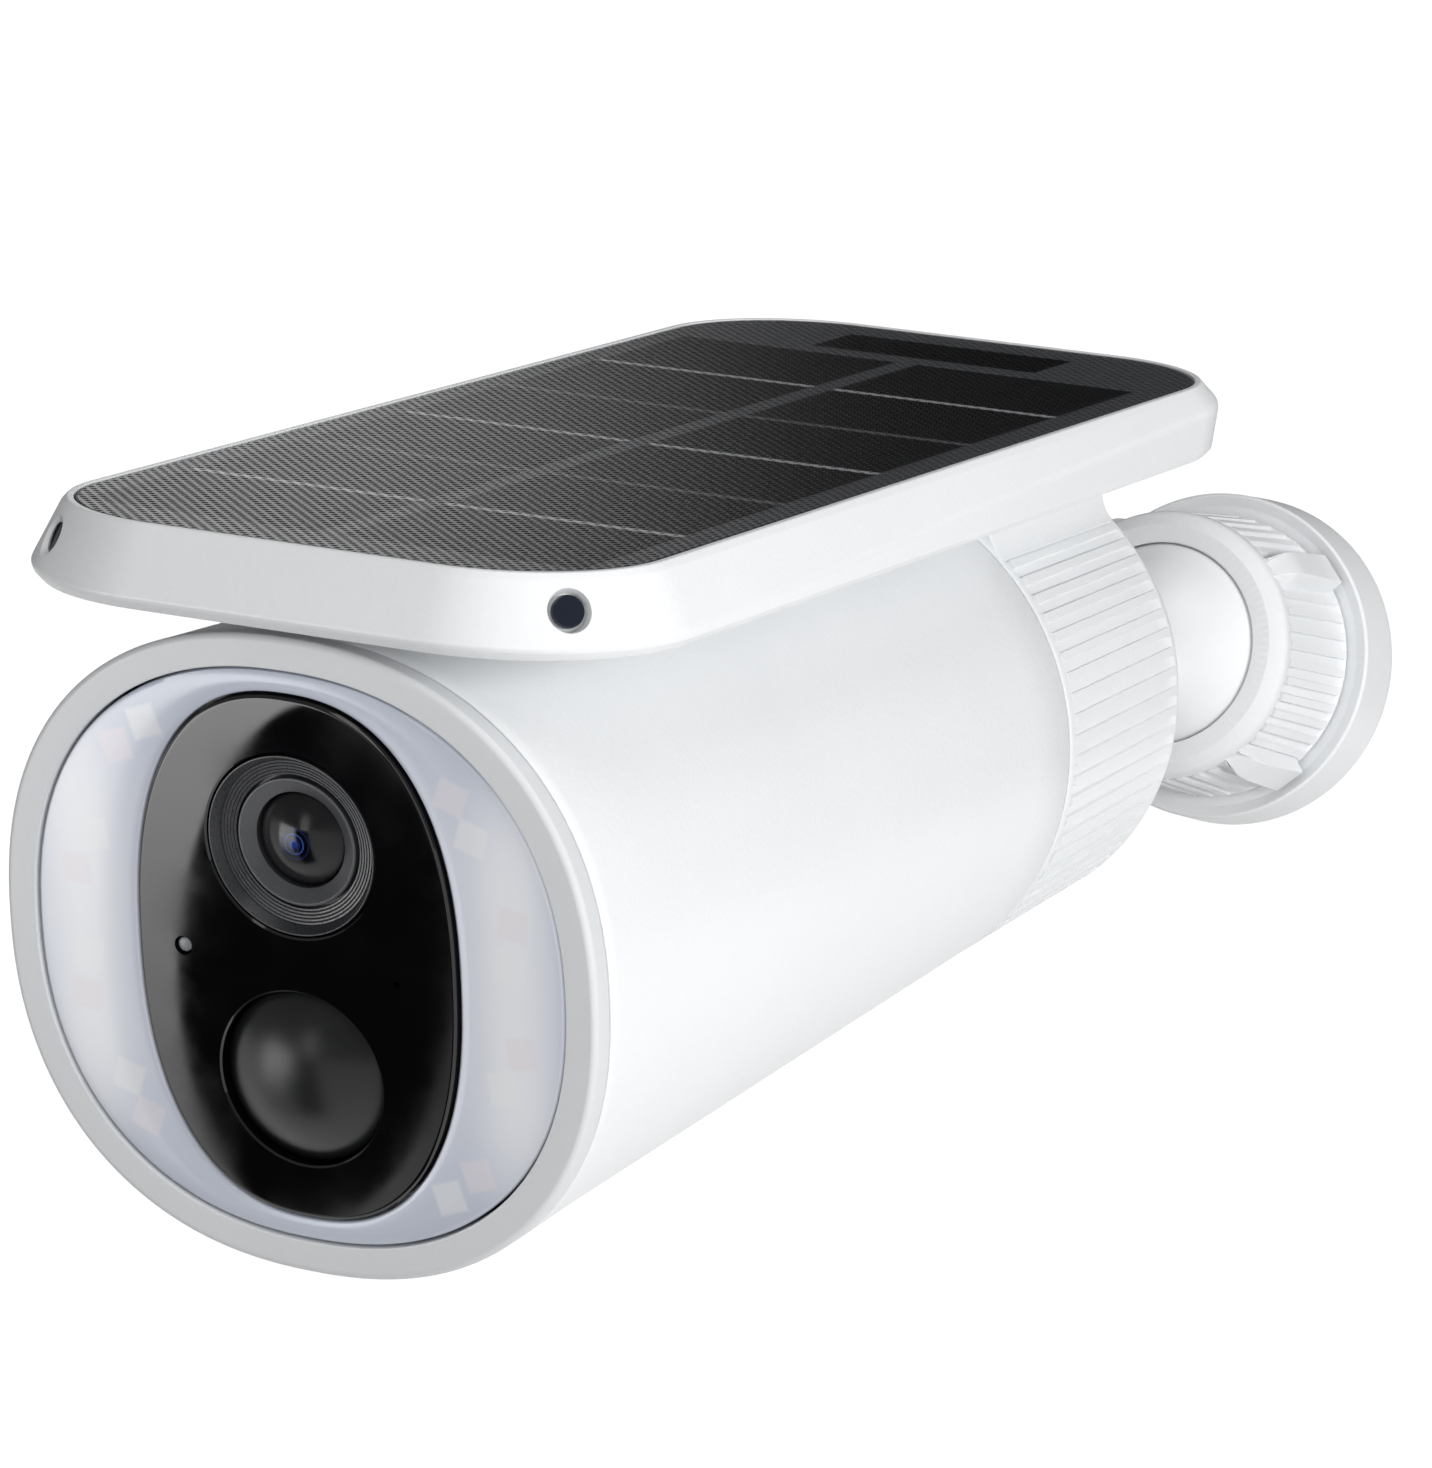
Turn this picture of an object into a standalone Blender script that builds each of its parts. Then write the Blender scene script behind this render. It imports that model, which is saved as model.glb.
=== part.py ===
"""Solar-powered security camera on a ball mount, as an assembly of separate parts. Lengths are in millimetres.

The wall is at the world's origin and the camera looks along -Y. Camera parts are placed from the camera's own
axis: y = 0 is the middle of the face, and y grows towards the wall.
"""

import math

import bmesh
import bpy
from mathutils import Matrix, Vector

MM = 0.001
GAP = 0.3                    # between pieces that touch
RUNNING = 0.3                # between faceted round pieces that turn on each other

# camera body
BODY_HALF_WIDTH = 40.0
BODY_HALF_HEIGHT = 39.8
BODY_SQUARENESS = 2.26       # exponent of the oval at the face; 2 is a plain ellipse
SHELL_LENGTH = 143.2         # face to the collar
SHELL_WALL = 2.2
FACE_TILT = 7.4              # degrees: the top of the face leans forward
BEZEL_DEPTH = 3.6
SEAM_HALF_WIDTH = 35.9       # the opening in the bezel
SEAM_HALF_HEIGHT = 36.0

# face pieces, in the face's own plane
GLASS_HALF_WIDTH = 21.5
GLASS_HALF_HEIGHT = 32.8
GLASS_SQUARENESS = 2.38
GLASS_THICKNESS = 2.6
LENS_HEIGHT = 14.3
LENS_RING_RADIUS = 11.15
LENS_RADIUS = 5.7
PIR_HEIGHT = -15.1
PIR_RADIUS = 10.7
MIC_PLACE = (13.5, -0.9)
STATUS_PLACE = (-15.4, -0.5)

# turning collar and its drive
COLLAR_LENGTH = 38.8
COLLAR_FRONT_RADIUS = 34.4
COLLAR_REAR_RADIUS = 33.0
SLEEVE_RADIUS = 29.6         # what the collar turns on
SLEEVE_WALL = 2.2
SLEEVE_LENGTH = 18.5
GEAR_MODULE = 1.0
RING_TEETH = 54
PINION_TEETH = 12
GEAR_WIDTH = 6.0
GEAR_BACKLASH = 0.25
NECK_HALF_WIDTH = 19.6
NECK_FOOT_ANGLE = 42.0       # degrees round the collar from its top

# solar panel
PANEL_HALF_WIDTH = 38.05
PANEL_LENGTH = 188.0
PANEL_CORNER = 18.6
PANEL_MIDDLE = 91.3          # behind the face
PANEL_TOP = 48.5             # above the camera's axis, at the panel's middle
PANEL_PITCH = 1.2            # degrees: its rear end is lower
PANEL_DEPTH = 9.7
LAMINATE_THICKNESS = 2.5
SENSOR_RADIUS = 1.95

# rear cover and ball mount
BALL_RADIUS = 16.5
BALL_BEHIND_FACE = 258.2
BALL_DROP = 10.4             # below the camera's axis
BALL_TO_WALL = 24.2          # along the mount's axis
MOUNT_PITCH = 15.4           # degrees between the camera's axis and the mount's, in this pose
RING_MOUTH_RADIUS = 14.7
BASE_RADIUS = 24.8
BASE_DEPTH = 10.0
SHANK_RADIUS = 4.0
SCREW_PITCH_HALF = 12.0      # the rear cover's screws stand at plus and minus this, both ways

# inside
CELL_RADIUS = 10.5
CELL_LENGTH = 70.0
CELL_FRONT = 40.0
CELL_HEIGHT = -8.0
PORT_FRONT = 98.0
PORT_LENGTH = 26.0
PORT_HALF_WIDTH = 11.0
SPEAKER_PLACE = 29.0

OVAL_POINTS = 32
ROUND_STEPS = 26
FINE_STEPS = 32

COLLAR_FRONT = SHELL_LENGTH + GAP
COLLAR_REAR = COLLAR_FRONT + COLLAR_LENGTH
SLEEVE_END = SHELL_LENGTH + SLEEVE_LENGTH
GEAR_FRONT = SLEEVE_END + 1.8
COVER_FRONT = GEAR_FRONT + GEAR_WIDTH + 1.7
COLLAR_BORE = SLEEVE_RADIUS + RUNNING
RING_PITCH_RADIUS = GEAR_MODULE * RING_TEETH / 2
PINION_PITCH_RADIUS = GEAR_MODULE * PINION_TEETH / 2
PINION_DROP = RING_PITCH_RADIUS - PINION_PITCH_RADIUS
BALL_CUP = BALL_RADIUS + GAP
TILT_COS = math.cos(math.radians(FACE_TILT))
TILT_SIN = math.sin(math.radians(FACE_TILT))


# ---------------------------------------------------------------- helpers

def clear_scene():
    for obj in list(bpy.data.objects):
        bpy.data.objects.remove(obj, do_unlink=True)


def hex_colour(text):
    channels = [int(text[i:i + 2], 16) / 255 for i in (0, 2, 4)]
    return [c / 12.92 if c <= 0.04045 else ((c + 0.055) / 1.055) ** 2.4 for c in channels] + [1]


def material(name, colour, roughness, metallic=0.0):
    made = bpy.data.materials.new(name)
    made.use_nodes = True
    shader = made.node_tree.nodes["Principled BSDF"]
    shader.inputs["Base Color"].default_value = hex_colour(colour)
    shader.inputs["Roughness"].default_value = roughness
    shader.inputs["Metallic"].default_value = metallic
    made.diffuse_color = hex_colour(colour)
    return made


def axis_empty(name, location, parent=None, turn_x=0.0):
    empty = bpy.data.objects.new(name, None)
    bpy.context.scene.collection.objects.link(empty)
    empty.parent = parent
    empty.location = [MM * c for c in location]
    empty.rotation_euler.x = math.radians(turn_x)
    return empty


def finish(name, bm, look, parent, location=(0, 0, 0), turn_x=0.0, crease=35):
    """The bmesh, in millimetres, becomes a named object."""
    bmesh.ops.remove_doubles(bm, verts=bm.verts, dist=1e-4)
    bmesh.ops.recalc_face_normals(bm, faces=bm.faces)
    bmesh.ops.scale(bm, vec=(MM, MM, MM), verts=bm.verts)
    mesh = bpy.data.meshes.new(name)
    bm.to_mesh(mesh)
    bm.free()
    mesh.materials.append(look)
    mesh.shade_smooth()
    mesh.set_sharp_from_angle(angle=math.radians(crease))
    obj = bpy.data.objects.new(name, mesh)
    bpy.context.scene.collection.objects.link(obj)
    obj.parent = parent
    obj.location = [MM * c for c in location]
    obj.rotation_euler.x = math.radians(turn_x)
    return obj


def helper(obj):
    obj.hide_render = True
    obj.display_type = "WIRE"
    return obj


def boolean(obj, other, operation):
    step = obj.modifiers.new(other.name, "BOOLEAN")
    step.operation = operation
    step.solver = "EXACT"
    step.object = helper(other)
    return obj


def spin_profile(bm, profile, steps):
    """Turns (radius, y) points about Y. Points that start and end on the axis close themselves."""
    verts = [bm.verts.new((radius, y, 0)) for radius, y in profile]
    pairs = list(zip(verts, verts[1:]))
    if profile[0][0] > 0:
        pairs.append((verts[-1], verts[0]))
    edges = [bm.edges.new(pair) for pair in pairs]
    bmesh.ops.spin(bm, geom=verts + edges, cent=(0, 0, 0), axis=(0, 1, 0), angle=2 * math.pi, steps=steps)
    bmesh.ops.remove_doubles(bm, verts=bm.verts, dist=1e-4)


def turned(profile, steps=ROUND_STEPS):
    bm = bmesh.new()
    spin_profile(bm, profile, steps)
    return bm


def rod(radius, front, rear):
    return [(0, front), (radius, front), (radius, rear), (0, rear)]


def arc(radius, middle, start, end, count):
    """(radius, y) points on a circle about the axis point at y = middle; angles in degrees from the axis."""
    angles = [math.radians(start + (end - start) * i / count) for i in range(count + 1)]
    return [(max(radius * math.sin(a), 0), middle + radius * math.cos(a)) for a in angles]


def lofted(loops, ring=False):
    """Bridges loops of equal count, one after the other; a ring closes on its first loop, else the ends are capped."""
    bm = bmesh.new()
    rows = []
    for loop in loops:
        verts = [bm.verts.new(point) for point in loop]
        rows.append(verts)
    pairs = list(zip(rows, rows[1:]))
    if ring:
        pairs.append((rows[-1], rows[0]))
    else:
        bm.faces.new(rows[0])
        bm.faces.new(rows[-1])
    for one, two in pairs:
        for i in range(len(one)):
            j = (i + 1) % len(one)
            bm.faces.new((one[i], one[j], two[j], two[i]))
    return bm


def extruded(outline, vector):
    bm = bmesh.new()
    face = bm.faces.new([bm.verts.new(point) for point in outline])
    grown = bmesh.ops.extrude_face_region(bm, geom=[face])
    verts = [item for item in grown["geom"] if isinstance(item, bmesh.types.BMVert)]
    bmesh.ops.translate(bm, vec=vector, verts=verts)
    return bm


def add_block(bm, low, high, bevel=0.0):
    size = [b - a for a, b in zip(low, high)]
    middle = [(a + b) / 2 for a, b in zip(low, high)]
    made = bmesh.ops.create_cube(bm, size=1, matrix=Matrix.Translation(middle) @ Matrix.Diagonal((*size, 1)))
    if bevel:
        edges = {edge for vert in made["verts"] for edge in vert.link_edges}
        bmesh.ops.bevel(bm, geom=list(edges), offset=bevel, segments=1, affect="EDGES")


def block(low, high, bevel=0.0):
    bm = bmesh.new()
    add_block(bm, low, high, bevel)
    return bm


def pegs(places, radius, front, rear, steps=20):
    """Separate rods along Y at (x, z) places, for cutters."""
    bm = bmesh.new()
    for x, z in places:
        one = turned(rod(radius, front, rear), steps)
        bmesh.ops.translate(one, vec=(x, 0, z), verts=one.verts)
        mesh = bpy.data.meshes.new("peg")
        one.to_mesh(mesh)
        one.free()
        bm.from_mesh(mesh)
        bpy.data.meshes.remove(mesh)
    return bm


def oval(half_width, half_height, squareness, count=OVAL_POINTS):
    points = []
    for i in range(count):
        c = math.cos(2 * math.pi * i / count)
        s = math.sin(2 * math.pi * i / count)
        x = half_width * math.copysign(abs(c) ** (2 / squareness), c)
        z = half_height * math.copysign(abs(s) ** (2 / squareness), s)
        points.append((x, z))
    return points


def body_oval(y, inset=0.0):
    """The body's outline at y: an oval at the face that becomes round at the collar."""
    share = min(max(y / SHELL_LENGTH, 0), 1)
    half_width = BODY_HALF_WIDTH + (COLLAR_FRONT_RADIUS - BODY_HALF_WIDTH) * share - inset
    half_height = BODY_HALF_HEIGHT + (COLLAR_FRONT_RADIUS - BODY_HALF_HEIGHT) * share - inset
    squareness = BODY_SQUARENESS + (2 - BODY_SQUARENESS) * share
    return oval(half_width, half_height, squareness)


def level_loop(y, inset=0.0):
    return [(x, y, z) for x, z in body_oval(y, inset)]


def face_loop(depth, inset=0.0):
    """The body's outline where a plane parallel to the face cuts it, that far behind the face."""
    return [(x, (depth - z * TILT_SIN) / TILT_COS, z) for x, z in body_oval(depth, inset)]


def round_loop(y, radius, middle_z=0.0):
    return [(x, y, z + middle_z) for x, z in oval(radius, radius, 2)]


def flat_loop(points, y):
    return [(x, y, z) for x, z in points]


def on_face(points, depth):
    """Points of the face's own plane, in the camera's axes."""
    return [(x, depth * TILT_COS - z * TILT_SIN, depth * TILT_SIN + z * TILT_COS) for x, z in points]


def rounded(half_width, half_length, corner, steps=6):
    points = []
    turns = ((1, 1, 0), (-1, 1, 90), (-1, -1, 180), (1, -1, 270))
    for side, end, start in turns:
        for i in range(steps + 1):
            a = math.radians(start + 90 * i / steps)
            x = side * (half_width - corner) + corner * math.cos(a)
            y = end * (half_length - corner) + corner * math.sin(a)
            points.append((x, y))
    return points


def panel_outline(out):
    return rounded(PANEL_HALF_WIDTH + out, PANEL_LENGTH / 2 + out, PANEL_CORNER + out)


def panel_loop(out_front, out_rear, depth_front, depth_rear):
    """The panel's outline grown outwards and sunk, by amounts that change from its front end to its rear."""
    loop = []
    for (x0, y0), (x1, y1) in zip(panel_outline(out_front), panel_outline(out_rear)):
        share = min(max(y0 / PANEL_LENGTH + 0.5, 0), 1)
        x = x0 + (x1 - x0) * share
        y = y0 + (y1 - y0) * share
        loop.append((x, y, -(depth_front + (depth_rear - depth_front) * share)))
    return loop


# ---------------------------------------------------------------- materials

clear_scene()
white = material("white_plastic", "F2F3F4", 0.45)
grey = material("grey_plastic", "D3D5D7", 0.5)
gloss_white = material("gloss_white_plastic", "F5F5F6", 0.15)
milky = material("diffuser_plastic", "E9EDF6", 0.35)
black_glass = material("black_glass", "0A0A0C", 0.05)
black = material("black_plastic", "17181A", 0.4)
dark_dome = material("infrared_dome", "101114", 0.1)
solar = material("solar_laminate", "1B1C1E", 0.35)
navy = material("sensor_window", "111722", 0.1)
rubber = material("rubber", "3A3C3F", 0.8)
board_green = material("circuit_board", "1C5A35", 0.5)
steel = material("steel", "B9BCC0", 0.3, 1.0)
brass = material("brass", "C7A252", 0.3, 1.0)
cell_blue = material("cell_wrap", "2E5FA8", 0.4)
nylon = material("nylon", "E7E4DA", 0.5)

# ---------------------------------------------------------------- axes

wall_axis = axis_empty("wall_axis", (0, 0, 0), turn_x=-MOUNT_PITCH)
mount_cos = math.cos(math.radians(MOUNT_PITCH))
mount_sin = math.sin(math.radians(MOUNT_PITCH))
ball_place = Vector((0, -BALL_TO_WALL * mount_cos, BALL_TO_WALL * mount_sin))
ball_axis = axis_empty("ball_axis", ball_place)
camera_axis = axis_empty("camera_axis", ball_place + Vector((0, -BALL_BEHIND_FACE, BALL_DROP)))
face_axis = axis_empty("face_axis", (0, 0, 0), camera_axis, turn_x=FACE_TILT)
collar_axis = axis_empty("collar_axis", (0, COLLAR_FRONT, 0), camera_axis)
panel_axis = axis_empty("panel_axis", (0, PANEL_MIDDLE - COLLAR_FRONT, PANEL_TOP), collar_axis, turn_x=-PANEL_PITCH)
pinion_axis = axis_empty("pinion_axis", (0, GEAR_FRONT, -PINION_DROP), camera_axis)


# ---------------------------------------------------------------- shell and face

def main_shell():
    sections = (22, 62, 102)
    outside = [face_loop(BEZEL_DEPTH + GAP)] + [level_loop(y) for y in (*sections, SHELL_LENGTH)]
    sleeve = [
        round_loop(SHELL_LENGTH, SLEEVE_RADIUS),
        round_loop(SLEEVE_END, SLEEVE_RADIUS),
        round_loop(SLEEVE_END, SLEEVE_RADIUS - SLEEVE_WALL),
        round_loop(SHELL_LENGTH - SHELL_WALL, SLEEVE_RADIUS - SLEEVE_WALL),
    ]
    inside = [level_loop(y, SHELL_WALL) for y in (SHELL_LENGTH - SHELL_WALL, *reversed(sections))]
    inside.append(face_loop(BEZEL_DEPTH + GAP, SHELL_WALL))
    shell = finish("main_shell", lofted(outside + sleeve + inside, ring=True), white, camera_axis)
    low = (-PORT_HALF_WIDTH, PORT_FRONT, -BODY_HALF_HEIGHT - 5)
    high = (PORT_HALF_WIDTH, PORT_FRONT + PORT_LENGTH, -BODY_HALF_HEIGHT / 2)
    boolean(shell, finish("cut_port", block(low, high), white, camera_axis), "DIFFERENCE")
    holes = [(0, 0)] + [(5 * math.cos(a), 5 * math.sin(a)) for a in (math.radians(60 * k) for k in range(6))]
    grille = pegs(holes, 0.9, 0, 12, 10)
    place = (0, SPEAKER_PLACE, -BODY_HALF_HEIGHT + 8)
    grille = finish("cut_speaker", grille, white, camera_axis, place, turn_x=-90)
    boolean(shell, grille, "DIFFERENCE")


def front_bezel():
    seam = oval(SEAM_HALF_WIDTH, SEAM_HALF_HEIGHT, BODY_SQUARENESS)
    loops = [
        face_loop(BEZEL_DEPTH),
        face_loop(0.9),
        face_loop(0, 0.9),
        on_face(seam, 0),
        on_face(seam, BEZEL_DEPTH),
    ]
    finish("front_bezel", lofted(loops, ring=True), grey, camera_axis)


def light_diffuser():
    outer = oval(SEAM_HALF_WIDTH - GAP, SEAM_HALF_HEIGHT - GAP, BODY_SQUARENESS)
    outer_edge = oval(SEAM_HALF_WIDTH - GAP - 0.6, SEAM_HALF_HEIGHT - GAP - 0.6, BODY_SQUARENESS)
    inner = oval(GLASS_HALF_WIDTH + GAP, GLASS_HALF_HEIGHT + GAP, GLASS_SQUARENESS)
    loops = [
        flat_loop(outer, 3.0),
        flat_loop(outer, 0.7),
        flat_loop(outer_edge, 0.3),
        flat_loop(inner, 0.3),
        flat_loop(inner, 3.0),
    ]
    finish("light_diffuser", lofted(loops, ring=True), milky, face_axis)


def front_glass():
    full = oval(GLASS_HALF_WIDTH, GLASS_HALF_HEIGHT, GLASS_SQUARENESS)
    edge = oval(GLASS_HALF_WIDTH - 0.5, GLASS_HALF_HEIGHT - 0.5, GLASS_SQUARENESS)
    loops = [flat_loop(edge, 0), flat_loop(full, 0.4), flat_loop(full, GLASS_THICKNESS)]
    glass = finish("front_glass", lofted(loops), black_glass, face_axis)
    big = pegs([(0, LENS_HEIGHT)], LENS_RING_RADIUS + GAP, -2, 6, 24)
    boolean(glass, finish("cut_lens", big, black, face_axis), "DIFFERENCE")
    big = pegs([(0, PIR_HEIGHT)], PIR_RADIUS + GAP, -2, 6, 24)
    boolean(glass, finish("cut_pir", big, black, face_axis), "DIFFERENCE")
    boolean(glass, finish("cut_mic", pegs([MIC_PLACE], 0.45, -2, 6, 12), black, face_axis), "DIFFERENCE")
    boolean(glass, finish("cut_status", pegs([STATUS_PLACE], 1.2, -2, 6, 16), black, face_axis), "DIFFERENCE")


def lens_group():
    middle = (0, 0, LENS_HEIGHT)
    ring = [(LENS_RING_RADIUS, 0.1)]
    grooves = 4
    for k in range(grooves):
        radius = LENS_RING_RADIUS - 0.5 - 0.8 * k
        ring += [(radius, 0.1 + 0.5 * k), (radius, 0.6 + 0.5 * k)]
    ring += [(7.3, 2.5), (7.3, 4.2), (LENS_RING_RADIUS, 4.2)]
    finish("lens_ring", turned(ring, 24), black, face_axis, middle)
    barrel = [(6.9, 1.2), (6.9, 15.5), (4.0, 15.5), (4.0, 6.2), (LENS_RADIUS + GAP, 6.2), (LENS_RADIUS + GAP, 1.2)]
    finish("lens_barrel", turned(barrel, 20), black, face_axis, middle)
    dome = [(0, 0.8), (2.2, 1.0), (4.1, 1.7), (LENS_RADIUS, 2.9), (LENS_RADIUS, 5.9), (0, 5.9)]
    finish("front_lens", turned(dome, 20), black_glass, face_axis, middle)


def sensor_group():
    low = LENS_HEIGHT
    mount = finish("lens_mount", block((-13, 11.0, low - 8.5), (13, 20, low + 8.5)), black, face_axis)
    room = finish("cut_filter_room", block((-11.6, 15.8, low - 6.6), (11.6, 22, low + 6.6)), black, face_axis)
    boolean(mount, room, "DIFFERENCE")
    bore = finish("cut_barrel_bore", pegs([(0, low)], 7.2, 8, 17, ROUND_STEPS), black, face_axis)
    boolean(mount, bore, "DIFFERENCE")
    finish("ir_cut_filter", block((-5.6, 16.6, low - 6.0), (5.6, 17.4, low + 6.0)), black_glass, face_axis)
    finish("image_sensor", block((-4.5, 18.6, low - 3.6), (4.5, 19.9, low + 3.6)), steel, face_axis)
    finish("sensor_board", block((-15, 20.3, low - 9.5), (15, 21.5, low + 9.5)), board_green, face_axis)


def motion_sensor():
    middle = (0, 0, PIR_HEIGHT)
    crown = 15.6
    lift = math.degrees(math.asin((PIR_RADIUS - 0.6) / crown))
    centre = 0.9 + crown * math.cos(math.radians(lift))
    outside = arc(crown, centre, 180, 180 - lift, 5)
    inside = arc(crown - 1.1, centre, 180 - lift + 3, 180, 3)
    profile = outside + [(PIR_RADIUS, 1.4), (PIR_RADIUS, 4.0), (PIR_RADIUS - 1.3, 4.0)] + inside
    finish("pir_dome", turned(profile, 24), dark_dome, face_axis, middle)
    finish("pir_sensor", turned(rod(4.4, 6.5, 11.4), 16), steel, face_axis, middle)
    finish("front_board", block((-17, 11.7, PIR_HEIGHT - 12), (17, 13.1, PIR_HEIGHT + 9.5)), board_green, face_axis)


def front_inner_pieces():
    finish("status_light", turned(rod(0.9, 0.3, 5.5), 16), milky, face_axis, (STATUS_PLACE[0], 0, STATUS_PLACE[1]))
    finish("microphone", turned(rod(1.9, 3.0, 4.6), 12), steel, face_axis, (MIC_PLACE[0], 0, MIC_PLACE[1]))
    rim = oval(33.6, 33.6, BODY_SQUARENESS)
    window = oval(23.8, 30.6, BODY_SQUARENESS)
    loops = [flat_loop(rim, 6.0), flat_loop(rim, 4.8), flat_loop(window, 4.8), flat_loop(window, 6.0)]
    board = finish("led_board", lofted(loops, ring=True), white, face_axis)
    emitters = bmesh.new()
    for side in (-1, 1):
        for angle in (-51, -39, -19, -7, 7, 19, 39, 51):
            x = side * 28.6 * math.cos(math.radians(angle))
            z = 31.5 * math.sin(math.radians(angle))
            add_block(emitters, (x - 1.4, 3.9, z - 1.4), (x + 1.4, 5.4, z + 1.4))
    boolean(board, finish("add_emitters", emitters, brass, face_axis), "UNION")
    plate = [face_loop(7, 5.6), face_loop(9, 5.6)]
    frame = finish("front_frame", lofted(plate), black, camera_axis)
    boolean(frame, finish("cut_frame_lens", pegs([(0, LENS_HEIGHT)], 7.5, 0, 20, 20), black, face_axis), "DIFFERENCE")
    boolean(frame, finish("cut_frame_pir", pegs([(0, PIR_HEIGHT)], 8.6, 0, 20, 20), black, face_axis), "DIFFERENCE")
    seal = [face_loop(7, SHELL_WALL + GAP), face_loop(9, SHELL_WALL + GAP), face_loop(9, 5.3), face_loop(7, 5.3)]
    finish("front_seal", lofted(seal, ring=True), rubber, camera_axis)


# ---------------------------------------------------------------- inside the body

def battery():
    for name, side in (("battery_cell_left", -1), ("battery_cell_right", 1)):
        place = (side * (CELL_RADIUS + 0.6), CELL_FRONT, CELL_HEIGHT)
        cell = [(0, 0.9), (2.6, 0.9), (2.6, 1.6), (CELL_RADIUS, 1.6), (CELL_RADIUS, CELL_LENGTH), (0, CELL_LENGTH)]
        finish(name, turned(cell, 20), cell_blue, camera_axis, place)
    front = CELL_FRONT - 2
    rear = CELL_FRONT + CELL_LENGTH + 2
    floor = CELL_HEIGHT - CELL_RADIUS - GAP
    outline = [(front - GAP, 0), (rear + GAP, 0), (rear + GAP, 16), (rear - 1.5, 16), (rear - 1.5, 2)]
    outline += [(front + 1.5, 2), (front + 1.5, 16), (front - GAP, 16)]
    points = [(-22.5, y, floor - 2 + z) for y, z in outline]
    finish("battery_tray", extruded(points, (45, 0, 0)), black, camera_axis)


def boards():
    level = CELL_HEIGHT + CELL_RADIUS + 4
    finish("main_board", block((-24, 34, level), (24, 124, level + 1.6)), board_green, camera_axis)
    finish("processor_shield", block((-11, 48, level + 1.9), (11, 72, level + 4.6), 0.4), steel, camera_axis)
    finish("wifi_antenna", block((-16, 92, level + 12), (16, 101, level + 12.9)), brass, camera_axis)
    speaker = [(0, 0), (11.5, 0), (11.5, 3.4), (8.5, 3.4), (8.5, 6.4), (0, 6.4)]
    place = (0, SPEAKER_PLACE, -BODY_HALF_HEIGHT + SHELL_WALL + 3.6)
    finish("speaker", turned(speaker, 20), black, camera_axis, place, turn_x=90)


def port_height(y):
    """Height of the body's underside at y."""
    share = y / SHELL_LENGTH
    return -(BODY_HALF_HEIGHT + (COLLAR_FRONT_RADIUS - BODY_HALF_HEIGHT) * share)


def port_group():
    face = port_height(PORT_FRONT) + 6.6
    plate = block((-PORT_HALF_WIDTH - 2.5, PORT_FRONT - 2, face), (PORT_HALF_WIDTH + 2.5, PORT_FRONT + 27.5, face + 1.2))
    plate = finish("port_plate", plate, black, camera_axis)
    usb = PORT_FRONT + 6
    button = PORT_FRONT + 19
    slots = bmesh.new()
    add_block(slots, (-4.8, usb - 2.0, face - 3), (4.8, usb + 2.0, face + 5))
    boolean(plate, finish("cut_port_slots", slots, black, camera_axis), "DIFFERENCE")
    rounds = pegs([(-6, 0), (6, 0)], 2.6, -5, 5, 16)
    rounds = finish("cut_port_rounds", rounds, black, camera_axis, (0, button, face), turn_x=90)
    boolean(plate, rounds, "DIFFERENCE")
    top = face + 6.6
    socket = finish("usb_socket", block((-4.5, usb - 1.7, face - 0.4), (4.5, usb + 1.7, top)), steel, camera_axis)
    mouth = block((-4.1, usb - 1.3, face - 3), (4.1, usb + 1.3, top - 1))
    boolean(socket, finish("cut_usb_mouth", mouth, steel, camera_axis), "DIFFERENCE")
    for name, x in (("power_button", -6), ("sync_button", 6)):
        cap = turned([(0, 0), (1.9, 0), (2.2, 0.4), (2.2, 6.6), (0, 6.6)], 12)
        finish(name, cap, grey, camera_axis, (x, button, face - 1.0), turn_x=90)
    board = block((-12, PORT_FRONT - 1, top + 0.3), (12, PORT_FRONT + 26, top + 1.5))
    finish("port_board", board, board_green, camera_axis)


def port_cover():
    """A flap that follows the body's skin, hinged along its rear edge."""
    front = PORT_FRONT + GAP
    rear = PORT_FRONT + PORT_LENGTH - GAP
    columns = 8
    rows = (front, rear)
    half = PORT_HALF_WIDTH - GAP
    hinge = axis_empty("port_cover_axis", (0, rear, port_height(rear)), camera_axis)
    loops = []
    for y in rows:
        radius = -port_height(y)
        xs = [half * (2 * k / columns - 1) for k in range(columns + 1)]
        skin = [(x, y - rear, -math.sqrt(radius ** 2 - x ** 2) - port_height(rear)) for x in xs]
        back = [(x, y - rear, z + 1.8) for x, _, z in reversed(skin)]
        loops.append(skin + back)
    finish("port_cover", lofted(loops), rubber, hinge)


# ---------------------------------------------------------------- collar and drive

def tooth_angle(teeth, radius, widened):
    """Half the angle of an involute tooth at a radius."""
    pressure = math.radians(20)
    pitch_radius = GEAR_MODULE * teeth / 2
    base_radius = pitch_radius * math.cos(pressure)
    here = math.acos(min(base_radius / radius, 1))
    involute = (math.tan(pressure) - pressure) - (math.tan(here) - here)
    return math.pi / (2 * teeth) + involute + widened / (2 * pitch_radius)


def gear_outline(teeth, root, tip, widened, cuts, turn=0.0):
    """(x, z) points round a gear: root, flank and tip of each tooth."""
    low = max(root, GEAR_MODULE * teeth / 2 * math.cos(math.radians(20)))
    points = []
    radii = [low + (tip - low) * k / cuts for k in range(cuts + 1)]
    for tooth in range(teeth):
        middle = 2 * math.pi * tooth / teeth + turn
        left = [(root, middle - tooth_angle(teeth, low, widened))] if root < low - 0.01 else []
        left += [(r, middle - tooth_angle(teeth, r, widened)) for r in radii]
        right = [(r, 2 * middle - a) for r, a in reversed(left)]
        points += [(r * math.cos(a), r * math.sin(a)) for r, a in left + right]
    return points


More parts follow.
